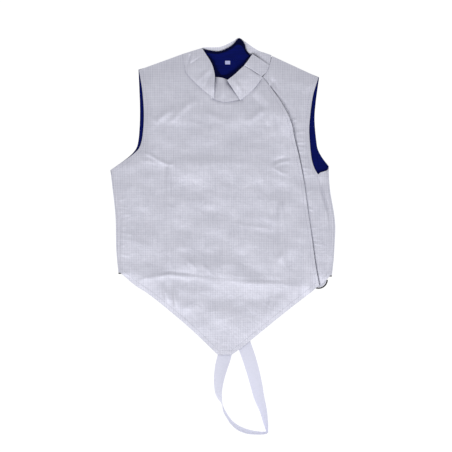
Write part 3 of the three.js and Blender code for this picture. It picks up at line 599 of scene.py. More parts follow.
# %% [markdown]
# ## Folds and creases
#
# The front's height is a loft that rolls down to each edge, with the folds on it. Each fold
# is a row: half its breadth, how it is shaped across, and points with a rise at each. A
# trough has a fall. A soft fold is bell-shaped across and a sharp one, such as the crease
# over the belly, comes to an edge. They run out at their ends, and they are uneven in
# length, depth and spacing, as cloth is that was packed flat and then shaken out. The
# straight upright pairs are press lines from the packing.

# %% Fold table
SOFT, SHARP = 2.0, 1.15
FOLDS = [
    (8, SHARP, [(-196, -104, 0), (-171, -93, 1.1), (-143, -89, 1.7), (-125, -85, 2.1), (-116, -84, 2.3),
                (-83, -88, 1.4), (-46, -92, 0.6), (-2, -98, 0.5), (42, -101, 0.8), (86, -103, 1.2),
                (119, -104, 1.4), (152, -109, 1), (186, -114, 0)]),
    (3.5, SHARP, [(-150, -82, 0), (-130, -80, -0.9), (-118, -78, -1.6), (-104, -80, -1.5), (-70, -83, -0.9),
                  (-20, -90, -0.4), (42, -95, -0.7), (86, -97, -1), (119, -98, -0.9), (146, -102, 0)]),
    (3.5, SHARP, [(-178, 184, 0), (-160, 178, 1.8), (-138, 165, 2.4), (-121, 158, 2.2), (-104, 159, 0)]),
    (5, SOFT, [(-188, 168, 0), (-168, 166, 0.7), (-140, 160, 0.5), (-118, 152, 0)]),
    (9, SOFT, [(-208, 148, 0), (-180, 146, -0.6), (-145, 143, -0.5), (-120, 138, 0)]),
    (11, SOFT, [(-118, 160, 0), (-94, 161, 0.9), (-40, 162, 1.1), (16, 161, 1.1), (70, 158, 0.9),
                (110, 152, 0.7), (150, 146, 0)]),
    (25, SOFT, [(-124, 142, 0), (-90, 143, 1.7), (-30, 142, 2.3), (30, 139, 2.3), (90, 135, 2),
                (150, 130, 0)]),
    (14, SOFT, [(-70, 76, 0), (-40, 74, 0.4), (20, 72, 0.6), (90, 70, 0.8), (128, 70, 0.6), (160, 70, 0)]),
    (12, SOFT, [(-130, 31, 0), (-90, 31, 0.6), (-50, 31, 0)]),
    (5, SHARP, [(20, 30, 0), (50, 23, 0.7), (90, 17, 0.7), (114, 12, 0)]),
    (8, SOFT, [(-119, 158, 0), (-119, 140, 1.9), (-118, 90, 1.7), (-118, 50, 1), (-117, -50, 0.9),
               (-116, -78, 0)]),
    (2.5, SHARP, [(-112, 158, 0), (-111.5, 130, -1.3), (-111.5, 60, -1.1), (-111.5, -40, -0.9),
                  (-111.5, -76, 0)]),
    (9, SOFT, [(130, 76, 0), (128, 62, 1.6), (130, 20, 1.1), (132, -44, 1.3), (134, -66, 0)]),
    (3, SHARP, [(118, 78, 0), (117, 62, -1.1), (116, -40, -0.7), (116, -66, 0)]),
    (6, SOFT, [(-170, 252, 0), (-162, 262, 1), (-152, 256, 1), (-140, 248, 0)]),
    (7, SOFT, [(-150, 247, 0), (-139, 257, 1.3), (-124, 270, 1.3), (-112, 276, 0.8), (-104, 284, 0)]),
    (7, SOFT, [(-112, 250, 0), (-103, 262, 1.2), (-84, 283, 1.6), (-70, 292, 1.2), (-54, 298, 0)]),
    (7, SOFT, [(-50, 279, 0), (-36, 272, 0.8), (-10, 261, 0.8), (8, 252, 0)]),
    (8, SOFT, [(50, 248, 0), (68, 260, 1.3), (86, 277, 1.4), (92, 284, 0)]),
    (8, SOFT, [(86, 284, 0), (92, 270, 1.5), (104, 250, 1.5), (118, 228, 1.3), (132, 196, 0.8),
               (138, 182, 0)]),
    (14, SOFT, [(-100, 240, 0), (-60, 244, -0.6), (10, 236, -0.5), (70, 236, -0.7), (100, 226, 0)]),
    (4, SOFT, [(106, 160, 0), (117, 166, -1), (130, 170, -1), (154, 172, 0)]),
    (3, SHARP, [(108, 150, 0), (122, 160, 1.2), (140, 164, 1), (156, 164, 0)]),
    (3, SHARP, [(106, 152, 0), (118, 146, 1.3), (134, 138, 1), (150, 136, 0)]),
    (17, SOFT, [(-124, -54, 0), (-80, -60, 1), (-30, -62, 1.4), (30, -63, 1.4), (90, -66, 1.2),
                (150, -72, 0)]),
    (15, SOFT, [(-124, -78, 0), (-80, -84, 0.7), (-30, -88, 1), (30, -92, 1), (90, -94, 0.8), (150, -98, 0)]),
    (7, SOFT, [(-112, -25, 0), (-90, -27, 0.7), (-66, -29, 0)]),
    (13, SOFT, [(106, -58, 0), (122, -48, 1.5), (140, -36, 1.5), (156, -28, 1), (168, -22, 0)]),
    (4, SOFT, [(-82, -50, 0), (-70, -60, 1), (-58, -74, 0)]),
    (4, SOFT, [(-48, -60, 0), (-35, -72, 0.9), (-24, -84, 0)]),
    (13, SOFT, [(-150, -130, 0), (-90, -135, -0.5), (0, -138, -0.5), (80, -138, -0.5), (120, -138, 0)]),
    (12, SOFT, [(36, -160, 0), (62, -163, 0.6), (90, -166, 0.4), (114, -168, 0)]),
    (5, SOFT, [(-134, -100, 0), (-129, -118, 1.2), (-124, -136, 1.2), (-121, -150, 0)]),
    (4, SOFT, [(-118, -96, 0), (-114, -120, -1.2), (-111, -142, -1), (-109, -160, 0)]),
    (5, SOFT, [(-112, -106, 0), (-107, -130, 1.3), (-103, -152, 1.2), (-98, -174, 0)]),
    (10, SOFT, [(-100, -168, 0), (-86, -160, 0.9), (-70, -158, 0.9), (-50, -178, 0)]),
    (5, SOFT, [(96, -176, 0), (101, -160, 0.8), (106, -144, 0.9), (112, -130, 0)]),
    (4, SOFT, [(105, -164, 0), (110, -146, -0.9), (116, -118, 0)]),
    (5, SOFT, [(104, 350, 0), (112, 338, -1.5), (124, 320, -1.6), (134, 302, 0)]),
    (2.5, SHARP, [(109, 344, 0), (108, 337, -1.4), (104, 326, -1.6), (114, 314, -1.2), (120, 306, 0)]),
]

# Puckers run from the placket and from the left side seam: the heights of their rows
PLACKET_PUCKERS = (255, 242, 227, 216, 205, 196, 185, 172, 161, 150, 141, 132, 96, 60, 18,
                   2, -6, -15, -39, -48)
SIDE_PUCKERS = (78, 64, 55, 46, 34, 20, 8, -6, -22, -40)
PUCKER_LENGTH, PUCKER_SLOPE, PUCKER_RISE, PUCKER_WIDTH = (12, 38), (-0.25, 0.35), (0.25, 0.75), (1.8, 3.4)
rng = np.random.default_rng(11)


def puckers(heights, line):
    """Short uneven ridges that run from a line into the cloth on its right."""
    rows = []
    for y in heights:
        x = np.interp(y, line[:, 1], line[:, 0]) + 2
        length, slope, rise, width = (
            rng.uniform(*limits) for limits in (PUCKER_LENGTH, PUCKER_SLOPE, PUCKER_RISE, PUCKER_WIDTH))
        rows.append((width, SOFT, [(x + part * length, y + slope * part * length, height)
                                   for part, height in ((0, rise), (0.5, rise), (1, 0))]))
    return rows


SMALL_FOLDS = puckers(PLACKET_PUCKERS, placket_line) + puckers(SIDE_PUCKERS, seam_left)


def fold_height(x, y, table):
    """The folds of a table at points x, y: each one's rise there, shaped across."""
    total = np.zeros(np.shape(x))
    for width, shape, points in table:
        gap, rise = nearest_on(x, y, spaced(points, 3 * len(points)))
        total += rise * np.exp(-(gap / width) ** shape)
    return total


WAVE_SHORTEST, WAVE_LONGEST, WAVE_HEIGHT = 17, 95, 0.13
waves = [(rng.normal(math.pi / 2, 0.55) if k % 3 else rng.uniform(0, math.pi),
          rng.uniform(0, 2 * math.pi), rng.uniform(WAVE_SHORTEST, WAVE_LONGEST)) for k in range(60)]


def handled(x, y):
    """Low uneven waves, as in cloth that has been handled; mostly across the body."""
    total = np.zeros(np.shape(x))
    for angle, phase, length in waves:
        along = 2 * math.pi / length * (x * math.cos(angle) + y * math.sin(angle))
        total += (length / WAVE_LONGEST) ** 1.2 * np.cos(along + phase)
    return WAVE_HEIGHT * total


# %% [markdown]
# ## Height of the front
#
# The same rules as the CAD's: a crown along the body, an edge roll at every free edge, and
# level sides that meet the fold of the back. The seams add shallow grooves of uneven depth.
# The tables give y first, then a height or a depth there.

# %% Height of the front
CROWN = [(-262, 5.4), (-200, 7.7), (-130, 8.8), (-84, 9.4), (50, 9.6), (150, 10.4), (260, 12),
         (330, 11), (400, 8)]
FRONT_EDGES = [  # line, level at the edge, how far in the roll reaches
    (shoulder_left, 5.2, 60), (RIGHT_SHOULDER, 5.2, 40),
    (armhole_left, 7.6, 24), (armhole_right, 7.6, 24), (hem_line, 5.2, 30),
]
GUARD_X, GUARD_Y, GUARD_RADIUS, GUARD_TOP = 210.5, -95.6, 17.3, -52
GUARD_Z, GUARD_THICK, GUARD_CLEAR = 2.0, 1.2, 0.2
guard_level = GUARD_Z + GUARD_THICK + SEAM_GAP + WALL + GUARD_CLEAR
GUARD_REACH, GUARD_BLEND = 24, 22
SEAM_GROOVES = {  # how deep each side seam is drawn in
    "left": [(-80, 0.5), (-20, 0.9), (60, 0.6), (144.7, 0.7)],
    "right": [(-86, 0.5), (0, 0.5), (28, 0.9), (50, 1.7), (110, 1.9), (122, 1.2), (135, 0.8)],
}
LIFT = [  # how far the placket stands over the side front
    (-108, 2.7), (-60, 2.6), (-10, 2.3), (57, 1.9), (110, 1.6), (150, 1.7), (180, 2.4), (215, 2.9),
    (250, 5.6), (275, 6.6), (292, 5.6), (312, 3.6), (348, 2.7)]
PLACKET_GROOVE = [  # how deep the placket's edge presses the side front, and how far to each side
    (-108, 1.4, 2.4), (-60, 1.6, 2.4), (40, 1.1, 2.4), (110, 1.4, 2.4), (190, 2, 2.8), (225, 2.2, 5),
    (250, 2.6, 9), (290, 2.4, 9), (320, 1.2, 4), (348, 0.8, 2.4)]
SIDE_FROM_X, SIDE_OVER_X = 190, 30      # where the front levels out to meet the back's fold
SIDE_FROM_Y, SIDE_TO_Y = -100, 170
SEAM_REACH, NECK_REACH, NECK_GROOVE = 3.0, 3.6, 1.9


def fold_end(strip):
    """Height of the end of the turned side: a narrow strip ends part way down the bend."""
    return SIDE_FOLD_RADIUS * (1 + np.sqrt(1 - np.maximum(0, 1 - strip / SIDE_FOLD_RADIUS) ** 2))


def front_level(x, y):
    folds = fold_height(x, y, FOLDS) + fold_height(x, y, SMALL_FOLDS) + handled(x, y)
    crown = at(CROWN, y) + folds
    z = crown.copy()
    for line, level, roll in FRONT_EDGES:
        t = np.clip(distance_to(x, y, line) / roll, 0, 1)
        z = np.minimum(z, level + (crown - level) * (1 - (1 - t) ** 2))
    sideways = (np.clip((np.abs(x) - SIDE_FROM_X) / SIDE_OVER_X, 0, 1)
                * np.clip((y - SIDE_FROM_Y) / 20, 0, 1) * np.clip((SIDE_TO_Y - y) / 25, 0, 1))
    z = z + (SIDE_LEVEL + 0.6 * folds - z) * smoothstep(sideways)
    for side, line, table in (("left", seam_left, LEFT_SIDE), ("right", seam_right, RIGHT_SIDE)):
        drop = SIDE_LEVEL - fold_end(at(table, y, STRIP)) + at(SEAM_GROOVES[side], y)
        z = z - drop * np.exp(-(distance_to(x, y, line) / SEAM_REACH) ** 2)
    return z


def drawn_to(z, x, y, seam):
    """The cloth drawn down to a collar's seam."""
    gap, seam_z = nearest_on(x, y, seam)
    return z + (seam_z - NECK_GROOVE - z) * np.exp(-(gap / NECK_REACH) ** 2)


def side_front_level(x, y, at_neck=True):
    near = smoothstep(1 - (np.hypot(x - GUARD_X, y - GUARD_Y) - GUARD_REACH) / GUARD_BLEND)
    z = np.maximum(front_level(x, y), guard_level * near)
    return drawn_to(z, x, y, side_seam) if at_neck else z


def main_front_level(x, y):
    d = distance_to(x, y, placket_line)
    lift = at(LIFT, y) * smoothstep(1 - (d - PLACKET_OVERLAP - 2) / PLACKET_BLEND)
    return drawn_to(side_front_level(x, y, at_neck=False) + lift, x, y, neck_seam)


print("folds:", len(FOLDS) + len(SMALL_FOLDS), "waves:", len(waves))

# %% [markdown]
# ## Main front
#
# The large front runs from the left side seam to the placket and down to the point. Its
# grid is coarse first, then cut seven times finer, so the folds are smooth. The hem is
# turned under, which shows as a slightly thicker band along the edge.

# %% Main front
HEM_BAND_MM, HEM_STEP_MM, HEM_EXTRA_MM = 10.0, 3.0, 0.2
MAIN_STEPS, SIDE_STEPS = 7, 8


def turned_hem(x, y, lines):
    """A low band along the free edges, where the cloth is doubled."""
    near = np.minimum.reduce([distance_to(x, y, line) for line in lines])
    return HEM_EXTRA_MM * smoothstep((HEM_BAND_MM - near) / HEM_STEP_MM)


def cloth_sheet(name, plan, height, node, outside=LAME, inside=LINING, thick=CLOTH):
    """A panel with its height, as a closed wall of cloth."""
    z = height(plan[..., 0], plan[..., 1])
    return shell(name, lifted(plan, z), lifted(plan, z - thick), outside, inside, node)


def main_height(x, y):
    return main_front_level(x, y) + turned_hem(x, y, [hem_line, placket_line, armhole_left])


main_plan = refined(between(hem_line, placket_line, joined(shoulder_left, neck_seam[:, :2]),
                            joined(seam_left, armhole_left)), MAIN_STEPS,
                    breaks_across=(SHOULDER_CELLS, HEM_CELLS[0], HEM_CELLS[0] + HEM_CELLS[1]),
                    breaks_up=(SIDE_CELLS,))
main_front = cloth_sheet("main_front", main_plan, main_height, "front_main")

# %% [markdown]
# ## Side front
#
# The small front on the wearer's left goes under the placket. Small puckers run from the
# placket towards the armhole, where the closing pulls the cloth.

# %% Side front
side_neck = spaced([(placket_line[-1][0] - PLACKET_UNDER, placket_line[-1][1]),
                    (96.6, 361.4), (102.6, 375.6), RIGHT_SHOULDER[0]], 5)
share = np.linspace(0, 1, len(placket_line))
under = PLACKET_UNDER + (PLACKET_OVERLAP - PLACKET_UNDER) * smoothstep((1 - share) * PLACKET_FADE)
tucked = placket_line - np.stack([under, 0 * share], 1)
tucked[0] = HEM_SIDE[0]
side_hem = joined(spaced(HEM_SIDE[:2], 4), spaced(HEM_SIDE[1:3], 2),
                  spaced(HEM_SIDE[2:-1] + [tuple(seam_right[0])], 7))
side_free = [side_hem[6:], armhole_right]


def side_height(x, y):
    pressed = at(PLACKET_GROOVE, y) * np.exp(-(distance_to(x, y, placket_line)
                                               / at(PLACKET_GROOVE, y, column=2)) ** 2)
    return side_front_level(x, y) + turned_hem(x, y, side_free) - pressed


side_plan = refined(between(side_hem, joined(seam_right, armhole_right),
                            joined(side_neck, spaced(RIGHT_SHOULDER, 8)), tucked), SIDE_STEPS,
                    breaks_across=(4, 5, 6), breaks_up=(SIDE_CELLS,))
side_front = cloth_sheet("side_front", side_plan, side_height, "front_side")

# %% [markdown]
# ## Back
#
# The back lies flat on the table and turns up and over at both sides, where a narrow strip
# of it shows in front. Each row of its grid is a section: strip, bend, flat, bend, strip.
# Its creases from the packing lift it off the table a little, as on the front.

# %% Back
ROLL_CELLS = 18
TURN_GROW, TURN_SPEED, LEFT_CURL, RIGHT_CURL = 18, 1.5, 34, 26
GROOVES_TO_Y = 140
BACK_FOLDS = [
    (9, SHARP, [(-190, -40, 0), (-120, -48, 0.45), (-30, -42, 0.5), (70, -50, 0.4), (170, -38, 0)]),
    (14, SOFT, [(-180, 70, 0), (-90, 62, 0.4), (40, 74, 0.45), (150, 60, 0)]),
    (12, SOFT, [(-150, 168, 0), (-60, 158, 0.45), (50, 166, 0.4), (150, 152, 0)]),
    (8, SHARP, [(-150, 262, 0), (-70, 250, 0.4), (20, 262, 0.45), (110, 244, 0)]),
    (12, SOFT, [(-120, 335, 0), (-30, 322, 0.4), (80, 334, 0.35), (150, 318, 0)]),
    (4, SOFT, [(-117, -60, 0), (-117, 40, 0.35), (-117, 250, 0.3), (-117, 300, 0)]),
    (4, SOFT, [(113, -50, 0), (113, 60, 0.35), (113, 230, 0.3), (113, 290, 0)]),
]


def turn_at(table, y, curl):
    """How far the cloth has turned at a row, and how wide its strip lies on top."""
    top = table[-1][0]
    strip = float(at(table, y, STRIP))
    if y > top:
        return (math.pi / 2) * (1 - float(smoothstep((y - top) / curl))), 0.0
    part = min(1.0, max(0.0, (top - y) / TURN_GROW))
    end = math.pi - math.asin(1 - strip / SIDE_FOLD_RADIUS) if strip < SIDE_FOLD_RADIUS else math.pi
    return math.pi / 2 + (end - math.pi / 2) * float(smoothstep(part * TURN_SPEED)), strip * part


def turned_edge(x, y, sign, angle, strip, depth, groove=0.0):
    """Points from the flat sheet round the fold to the end of the strip."""
    radius = SIDE_FOLD_RADIUS
    flat = radius * (1 - math.sin(min(angle, math.pi / 2)))
    bend = min(angle, math.pi)
    straight = max(0.0, strip - radius) if angle >= math.pi else 0.0
    total = flat + bend * radius + straight
    points = []
    for k in range(1, ROLL_CELLS + 1):
        s = total * k / ROLL_CELLS
        phi = min(1.0, max(0.0, (s - flat) / (bend * radius or 1))) * bend
        rest, r = max(0.0, s - flat - bend * radius), radius - depth
        away = min(s, flat) - radius + r * math.sin(phi) + rest * math.cos(bend)
        points.append((x + sign * away, y,
                       radius - r * math.cos(phi) - groove * math.exp(-((total - s) / SEAM_REACH) ** 2)))
    return points


back_left = joined(side_line(LEFT_SIDE), spaced(LEFT_ARM_BACK, ARM_CELLS))
back_right = joined(side_line(RIGHT_OUTLINE), spaced(RIGHT_ARM_BACK, ARM_CELLS))
inward = np.array([SIDE_FOLD_RADIUS, 0.0])
back_top = joined(spaced([tuple(back_left[-1] + inward), (-86, 396)], 4),
                  spaced([(-86, 396)] + BACK_NECK + [(106, 394)], 8),
                  spaced([(106, 394), tuple(back_right[-1] - inward)], 4))
back_hem = spaced([tuple(back_left[0] + inward), (0, -86), tuple(back_right[0] - inward)], 16)
back_plan = between(back_hem, back_right - inward, back_top, back_left + inward)


def finer(line, steps):
    return joined(hermite(line[:SIDE_CELLS + 1], steps), hermite(line[SIDE_CELLS:], steps))


def back_face(depth, steps=4):
    """One face of the back, depth above the sheet's underside, row by row."""
    plan = refined(back_plan, steps, breaks_across=(4, 12), breaks_up=(SIDE_CELLS,))
    rows = []
    for row, left, right in zip(plan, finer(back_left, steps), finer(back_right, steps)):
        ends = [turned_edge(*p, sign, *turn_at(table, p[1], curl), depth,
                            float(at(SEAM_GROOVES[side], p[1])) if p[1] < GROOVES_TO_Y else 0.0)
                for side, p, sign, table, curl in (("left", left, -1, LEFT_SIDE, LEFT_CURL),
                                                   ("right", right, 1, RIGHT_OUTLINE, RIGHT_CURL))]
        rows.append(ends[0][::-1] + [(p[0], p[1], depth) for p in row] + ends[1])
    face = np.array(rows)
    x, y, z = face[..., 0], face[..., 1], face[..., 2]
    on_table = np.clip(1 - (z - depth) / 1.0, 0, 1)
    on_top = np.clip(z / SIDE_FOLD_RADIUS - 1, 0, 1)
    face[..., 2] = z + on_table * fold_height(x, y, BACK_FOLDS) + 0.6 * on_top * handled(x, y)
    return face


back_shell = shell("back_shell", back_face(CLOTH), back_face(0.0), LINING, LAME, "back",
                   rim=(1, 1, 1, 1))

# %% [markdown]
# ## Upper back lining
#
# The lining shows in both armholes and through the neck, so it gets its own sheet, with
# low wrinkles and the fold that the pressed collar leaves in it.

# %% Back lining
LINING_Z = WALL + SEAM_GAP
LINING_TOP = LINING_Z + 1.2
LINING_INSETS, LINING_BOTTOM_Y, ARM_INSETS, ARM_LOW_Y = (28, 24), 96, (9, 1), 180
LINING_FOLDS = [
    (3, SHARP, [(-8, 400, 0), (-21, 386, -0.5), (-21, 366, -0.7), (-20, 346, 0)]),
    (4, SOFT, [(-30, 376, 0), (-10, 372, 0.6), (14, 369, 0.5), (44, 372, 0)]),
    (4, SOFT, [(-14, 360, 0), (6, 357, 0.5), (30, 360, 0)]),
]


def lining_edge(rows, sign):
    """The lining's side edge: inset under the fold, then along the armhole."""
    low = [(rows[0][0] + sign * inset, y) for inset, y in zip(LINING_INSETS, (LINING_BOTTOM_Y, 150))]
    return spaced(low + [(x + sign * ARM_INSETS[y >= ARM_LOW_Y], y) for x, y in rows[1:]], 16)


lining_left, lining_right = lining_edge(LEFT_ARM_BACK, 1), lining_edge(RIGHT_ARM_BACK, -1)
lining_top = joined(spaced([tuple(lining_left[-1]), (-85, 395.4)], 4),
                    spaced([(-85, 395.4)] + BACK_NECK + [(105, 393.4)], 8),
                    spaced([(105, 393.4), tuple(lining_right[-1])], 4))
lining_plan = refined(between(spaced([tuple(lining_left[0]), tuple(lining_right[0])], 16),
                              lining_right, lining_top, lining_left), 5, breaks_across=(4, 12))


def lining_height(x, y):
    return LINING_TOP + 0.8 * handled(1.7 * x, 1.7 * y) + fold_height(x, y, LINING_FOLDS)


back_lining = cloth_sheet("upper_back_lining", lining_plan, lining_height, "back_lining",
                          outside=LINING, inside=LINING, thick=LINING_THICK)

# %% [markdown]
# ## Collar
#
# Each collar piece is a strip of sections, cut finer along and across, and slightly crowned.
# The pleats are already in its rows, folded over the centre. The table adds the small creases
# at its left end and the thin seam of its join. A navy facing runs along the inside of the
# upper edge behind. In front a navy strip under the upper edge is partly facing and partly
# painted shade: the dark where the raised collar shades the lining.

# %% Collar pieces
ACROSS, ALONG = 40, 18
SEAM_PRESS, COLLAR_GROOVE = 1.5, 0.1
NECK_MIDDLE = np.array([8.0, 384.0])
FACING_SHOWS, FACING_TUCKED, FACING_DROPS, FACING_THICK = 6.0, 3.0, (2.3, 5), 0.4
COLLAR_FOLDS = [
    (2.5, SHARP, [(-70, 401, 0), (-72.2, 393.9, -2.4), (-75.5, 381.8, -2.2), (-79, 372, 0)]),
    (3, SOFT, [(-66, 402, 0), (-68, 394, 1.4), (-71, 382, 1.2), (-74, 372, 0)]),
    (2.5, SHARP, [(-82, 368, 0), (-79.5, 371.5, -0.6), (-73, 378, -1.1), (-60, 385.6, -1.1),
                  (-49, 394.4, -0.6)]),
    (1.2, SHARP, [(46.6, 374.1, -0.8), (59.8, 366.4, -1.3), (73, 357.6, -1.3), (84, 348.8, -0.8)]),
    (5, SOFT, [(-60, 340, 0), (-46, 350, 0.9), (-34, 362, 0.8), (-26, 374, 0)]),
    (4, SOFT, [(-44, 322, 0), (-36, 336, -0.8), (-29, 350, -0.7), (-22, 362, 0)]),
    (5, SOFT, [(44, 312, 0), (36, 326, 1.1), (28, 338, 0.9), (20, 350, 0)]),
    (6, SOFT, [(2, 300, 0), (2, 314, 0.7), (1, 330, 0.5), (0, 346, 0)]),
]


def collar_strip(name, rows, node, outside, inside, crown=0.0, thick=CLOTH, groove=0.0,
                 span=(0, 1), lift=0.0):
    """A strip between a seam line and an upper edge, or the part of it that span names."""
    seam, edge = line_of(rows, SEAM, ALONG), line_of(rows, EDGE, ALONG)
    v = np.linspace(*span, ACROSS + 1)[:, None, None]
    face = seam[None] * (1 - v) + edge[None] * v
    from_seam = v[..., 0] * np.linalg.norm(edge - seam, axis=1)[None]
    x, y = face[..., 0], face[..., 1]
    bulge = np.sin(math.pi * v[..., 0])
    face[..., 2] += (crown * bulge + 0.5 * handled(1.6 * x, 1.6 * y) * bulge
                     + fold_height(x, y, COLLAR_FOLDS)
                     - groove * np.exp(-(from_seam / SEAM_PRESS) ** 2) + lift)
    face[..., 2] = np.maximum(face[..., 2], thick)
    lower = face - np.array([0, 0, thick])
    return shell(name, face, lower, outside, inside, node, rim=(0, 1, 1, 1))


collar_front = collar_strip("collar_front_shell", COLLAR_FRONT, "collar_front", LAME, LINING,
                            crown=1.1, groove=COLLAR_GROOVE)
collar_side = collar_strip("collar_side_shell", COLLAR_SIDE, "collar_side", LAME, LINING,
                           crown=0.6, groove=COLLAR_GROOVE)
collar_back = collar_strip("collar_back_shell", COLLAR_BACK, "collar_back", LAME, LAME)
collar_inside = collar_strip("collar_lining_shell", COLLAR_LINING, "collar_lining", LINING, LINING,
                             thick=LINING_THICK)
collar_facing = collar_strip("collar_facing", COLLAR_LINING, None, NAVY_FACING_AND_SHADE, NAVY_FACING_AND_SHADE,
                             thick=FACING_THICK, span=(0.72, 1.0), lift=0.35)
# The front strip is partly facing and partly painted shade: navy laid on the lining where the raised collar's
# edge shades it.
front_facing_and_shade_rows = []
for name, _, _, _, x, y, z in COLLAR_FRONT[1:4] + COLLAR_FRONT[6:7] + COLLAR_FRONT[9:] + COLLAR_SIDE[2:]:
    inward_way = unit(NECK_MIDDLE - (x, y))
    front_facing_and_shade_rows.append((name, *((x, y) - FACING_TUCKED * inward_way), z - FACING_DROPS[0],
                        *((x, y) + FACING_SHOWS * inward_way), z - FACING_DROPS[1]))
front_facing_and_shade = collar_strip("front_collar_facing_and_painted_shade", front_facing_and_shade_rows, None, NAVY_FACING_AND_SHADE, NAVY_FACING_AND_SHADE,
                            thick=FACING_THICK)

# %% [markdown]
# ## Neck label
#
# A small bare ribbon, sewn by its upper edge and standing a little off the lining below.

# %% Label
LABEL_X, LABEL_Y, LABEL_W, LABEL_H = 10.6, 381.4, 11.0, 8.0
LABEL_THICK = 0.35
LABEL_CLEAR, LABEL_STANDS, LABEL_CURL = 1.1, 0.5, 0.15
label_plan = np.stack(np.meshgrid(np.linspace(LABEL_X - LABEL_W / 2, LABEL_X + LABEL_W / 2, 15),
                                  np.linspace(LABEL_Y - LABEL_H / 2, LABEL_Y + LABEL_H / 2, 11)), -1)
free_end = smoothstep((LABEL_Y + LABEL_H / 2 - label_plan[..., 1]) / LABEL_H)
label_z = (LINING_TOP + LABEL_CLEAR + LABEL_STANDS * free_end
           + LABEL_CURL * np.sin((label_plan[..., 0] - LABEL_X) * 0.5))
shell("neck_label_ribbon", lifted(label_plan, label_z), lifted(label_plan, label_z - LABEL_THICK),
      SATIN, SATIN, "neck_label")

# %% [markdown]
# ## Strap
#
# The elastic runs from under the point, turns on its edge round the loop, and goes back
# under the front to the back's hem. Each row gives its middle line, how far it is turned,
# and how high it is lifted: 0 degrees lies outer face up, 90 stands on edge.

# %% Strap
STRAP_THICK = 1.5
STRAP_LINE = [  # x, y, turn, lift
    (5.2, -238, 0, 0), (4.4, -260.6, 0, 0), (-3.5, -289.2, 24, 0), (-8.6, -316.7, 44, 0),
    (-9.5, -342, 60, 0), (-6.8, -354.5, 70, 0), (-2.6, -366, 85, 0), (3, -384, 97, 0),
    (11.4, -398.6, 99, 0), (20, -410.2, 102, 0), (34, -421.4, 106, 0), (52.4, -429, 106, 0),
    (72, -432.2, 101, 0), (91, -432.7, 97, 0), (97.2, -430, 97, 0), (96.8, -424, 100, 0),
    (94, -408.9, 110, 0), (88.6, -382.5, 122, 0), (80, -354.8, 138, 0), (73.5, -326.4, 150, 0),
    (67, -300.2, 158, 0), (57.5, -268.3, 170, 0), (48.2, -241.5, 180, 0), (31, -190, 180, 0),
    (16, -140.7, 180, 0), (9, -108, 180, 0), (6, -93, 180, LINING_Z), (5, -70, 180, LINING_Z),
]
path = hermite(STRAP_LINE, 10)
ahead = unit(np.gradient(path[:, :2], axis=0))
turn = np.radians(path[:, 2])
out = np.stack([ahead[:, 1], -ahead[:, 0], 0 * turn], 1)
up = np.array([0.0, 0.0, 1.0])
across = out * np.cos(turn)[:, None] - up * np.sin(turn)[:, None]
facing = out * np.sin(turn)[:, None] + up * np.cos(turn)[:, None]
rest = STRAP_WIDTH_MM / 2 * np.abs(np.sin(turn)) + STRAP_THICK / 2 * np.abs(np.cos(turn))
middle = np.stack([path[:, 0], path[:, 1], rest + path[:, 3]], 1)
w = np.linspace(-1, 1, 13)
strap_face = middle[:, None] + across[:, None] * (w * STRAP_WIDTH_MM / 2)[None, :, None]
half = facing[:, None] * STRAP_THICK / 2 * np.sqrt(1 - 0.75 * w[None, :, None] ** 8)
distance = distances(middle)
strap_uv = np.stack(np.meshgrid(distance, w * STRAP_WIDTH_MM / 2, indexing="ij"), -1) * MM
strap = shell("elastic_strap", strap_face + half, strap_face - half, ELASTIC, ELASTIC,
              "crotch_strap", uv=strap_uv)
print("strap length:", round(distance[-1]), "mm")

# %% [markdown]
# ## Guard and bindings
#
# Behind the placket a guard keeps the closing off the body. Only its rounded end shows, with
# a dark tape bound round it. The same tape binds the back's hem.

# %% Guard and bindings
angles = np.linspace(-math.pi, 0, 25)
ring = np.stack([GUARD_X + GUARD_RADIUS * np.cos(angles), GUARD_Y + GUARD_RADIUS * np.sin(angles)], 1)
roof = np.stack([np.linspace(ring[0, 0], ring[-1, 0], 25), np.full(25, float(GUARD_TOP))], 1)
t = np.linspace(0, 1, 15)[:, None, None]
guard_plan = ring[None] * (1 - t) + roof[None] * t
guard = shell("placket_guard_shell", lifted(guard_plan, np.full((15, 25), GUARD_Z + GUARD_THICK)),
              lifted(guard_plan, np.full((15, 25), GUARD_Z)), LAME, LAME, "placket_guard")


def ring_faces(n, m, first=0):
    """The faces of a closed tube of n rings of m points, the first of them numbered first."""
    faces = [(first + i * m + k, first + i * m + (k + 1) % m, first + (i + 1) * m + (k + 1) % m,
              first + (i + 1) * m + k) for i in range(n - 1) for k in range(m)]
    return faces + [tuple(first + k for k in range(m))[::-1],
                    tuple(first + (n - 1) * m + k for k in range(m))]


def tube(name, line, size, node, material):
    """A tape rolled over an edge, as a flattened tube along a line, by half its width and height."""
    line = np.asarray(line, float)
    tangent = unit(np.gradient(line, axis=0))
    sideways = unit(np.cross(tangent, up))
    above = np.cross(sideways, tangent)
    turns = np.linspace(0, 2 * math.pi, 12, endpoint=False)
    rings = (line[:, None] + sideways[:, None] * (size[0] * np.cos(turns))[None, :, None]
             + above[:, None] * (size[1] * np.sin(turns))[None, :, None])
    mesh = new_mesh(name, rings, ring_faces(*rings.shape[:2]), material)
    for polygon in mesh.polygons:
        polygon.use_smooth = len(polygon.vertices) == 4
    return placed(name, mesh, node)


GUARD_TAPE, HEM_TAPE = (1.5, 0.9), (1.4, 0.8)
TAPE_RADIUS = GUARD_RADIUS + 1.8
bound = np.linspace(-0.95 * math.pi, -0.01 * math.pi, 40)
guard_edge = np.stack([GUARD_X + TAPE_RADIUS * np.cos(bound), GUARD_Y + TAPE_RADIUS * np.sin(bound),
                       np.full(40, GUARD_Z + 0.7)], 1)
tube("guard_tape", guard_edge, GUARD_TAPE, "guard_binding", BINDING)

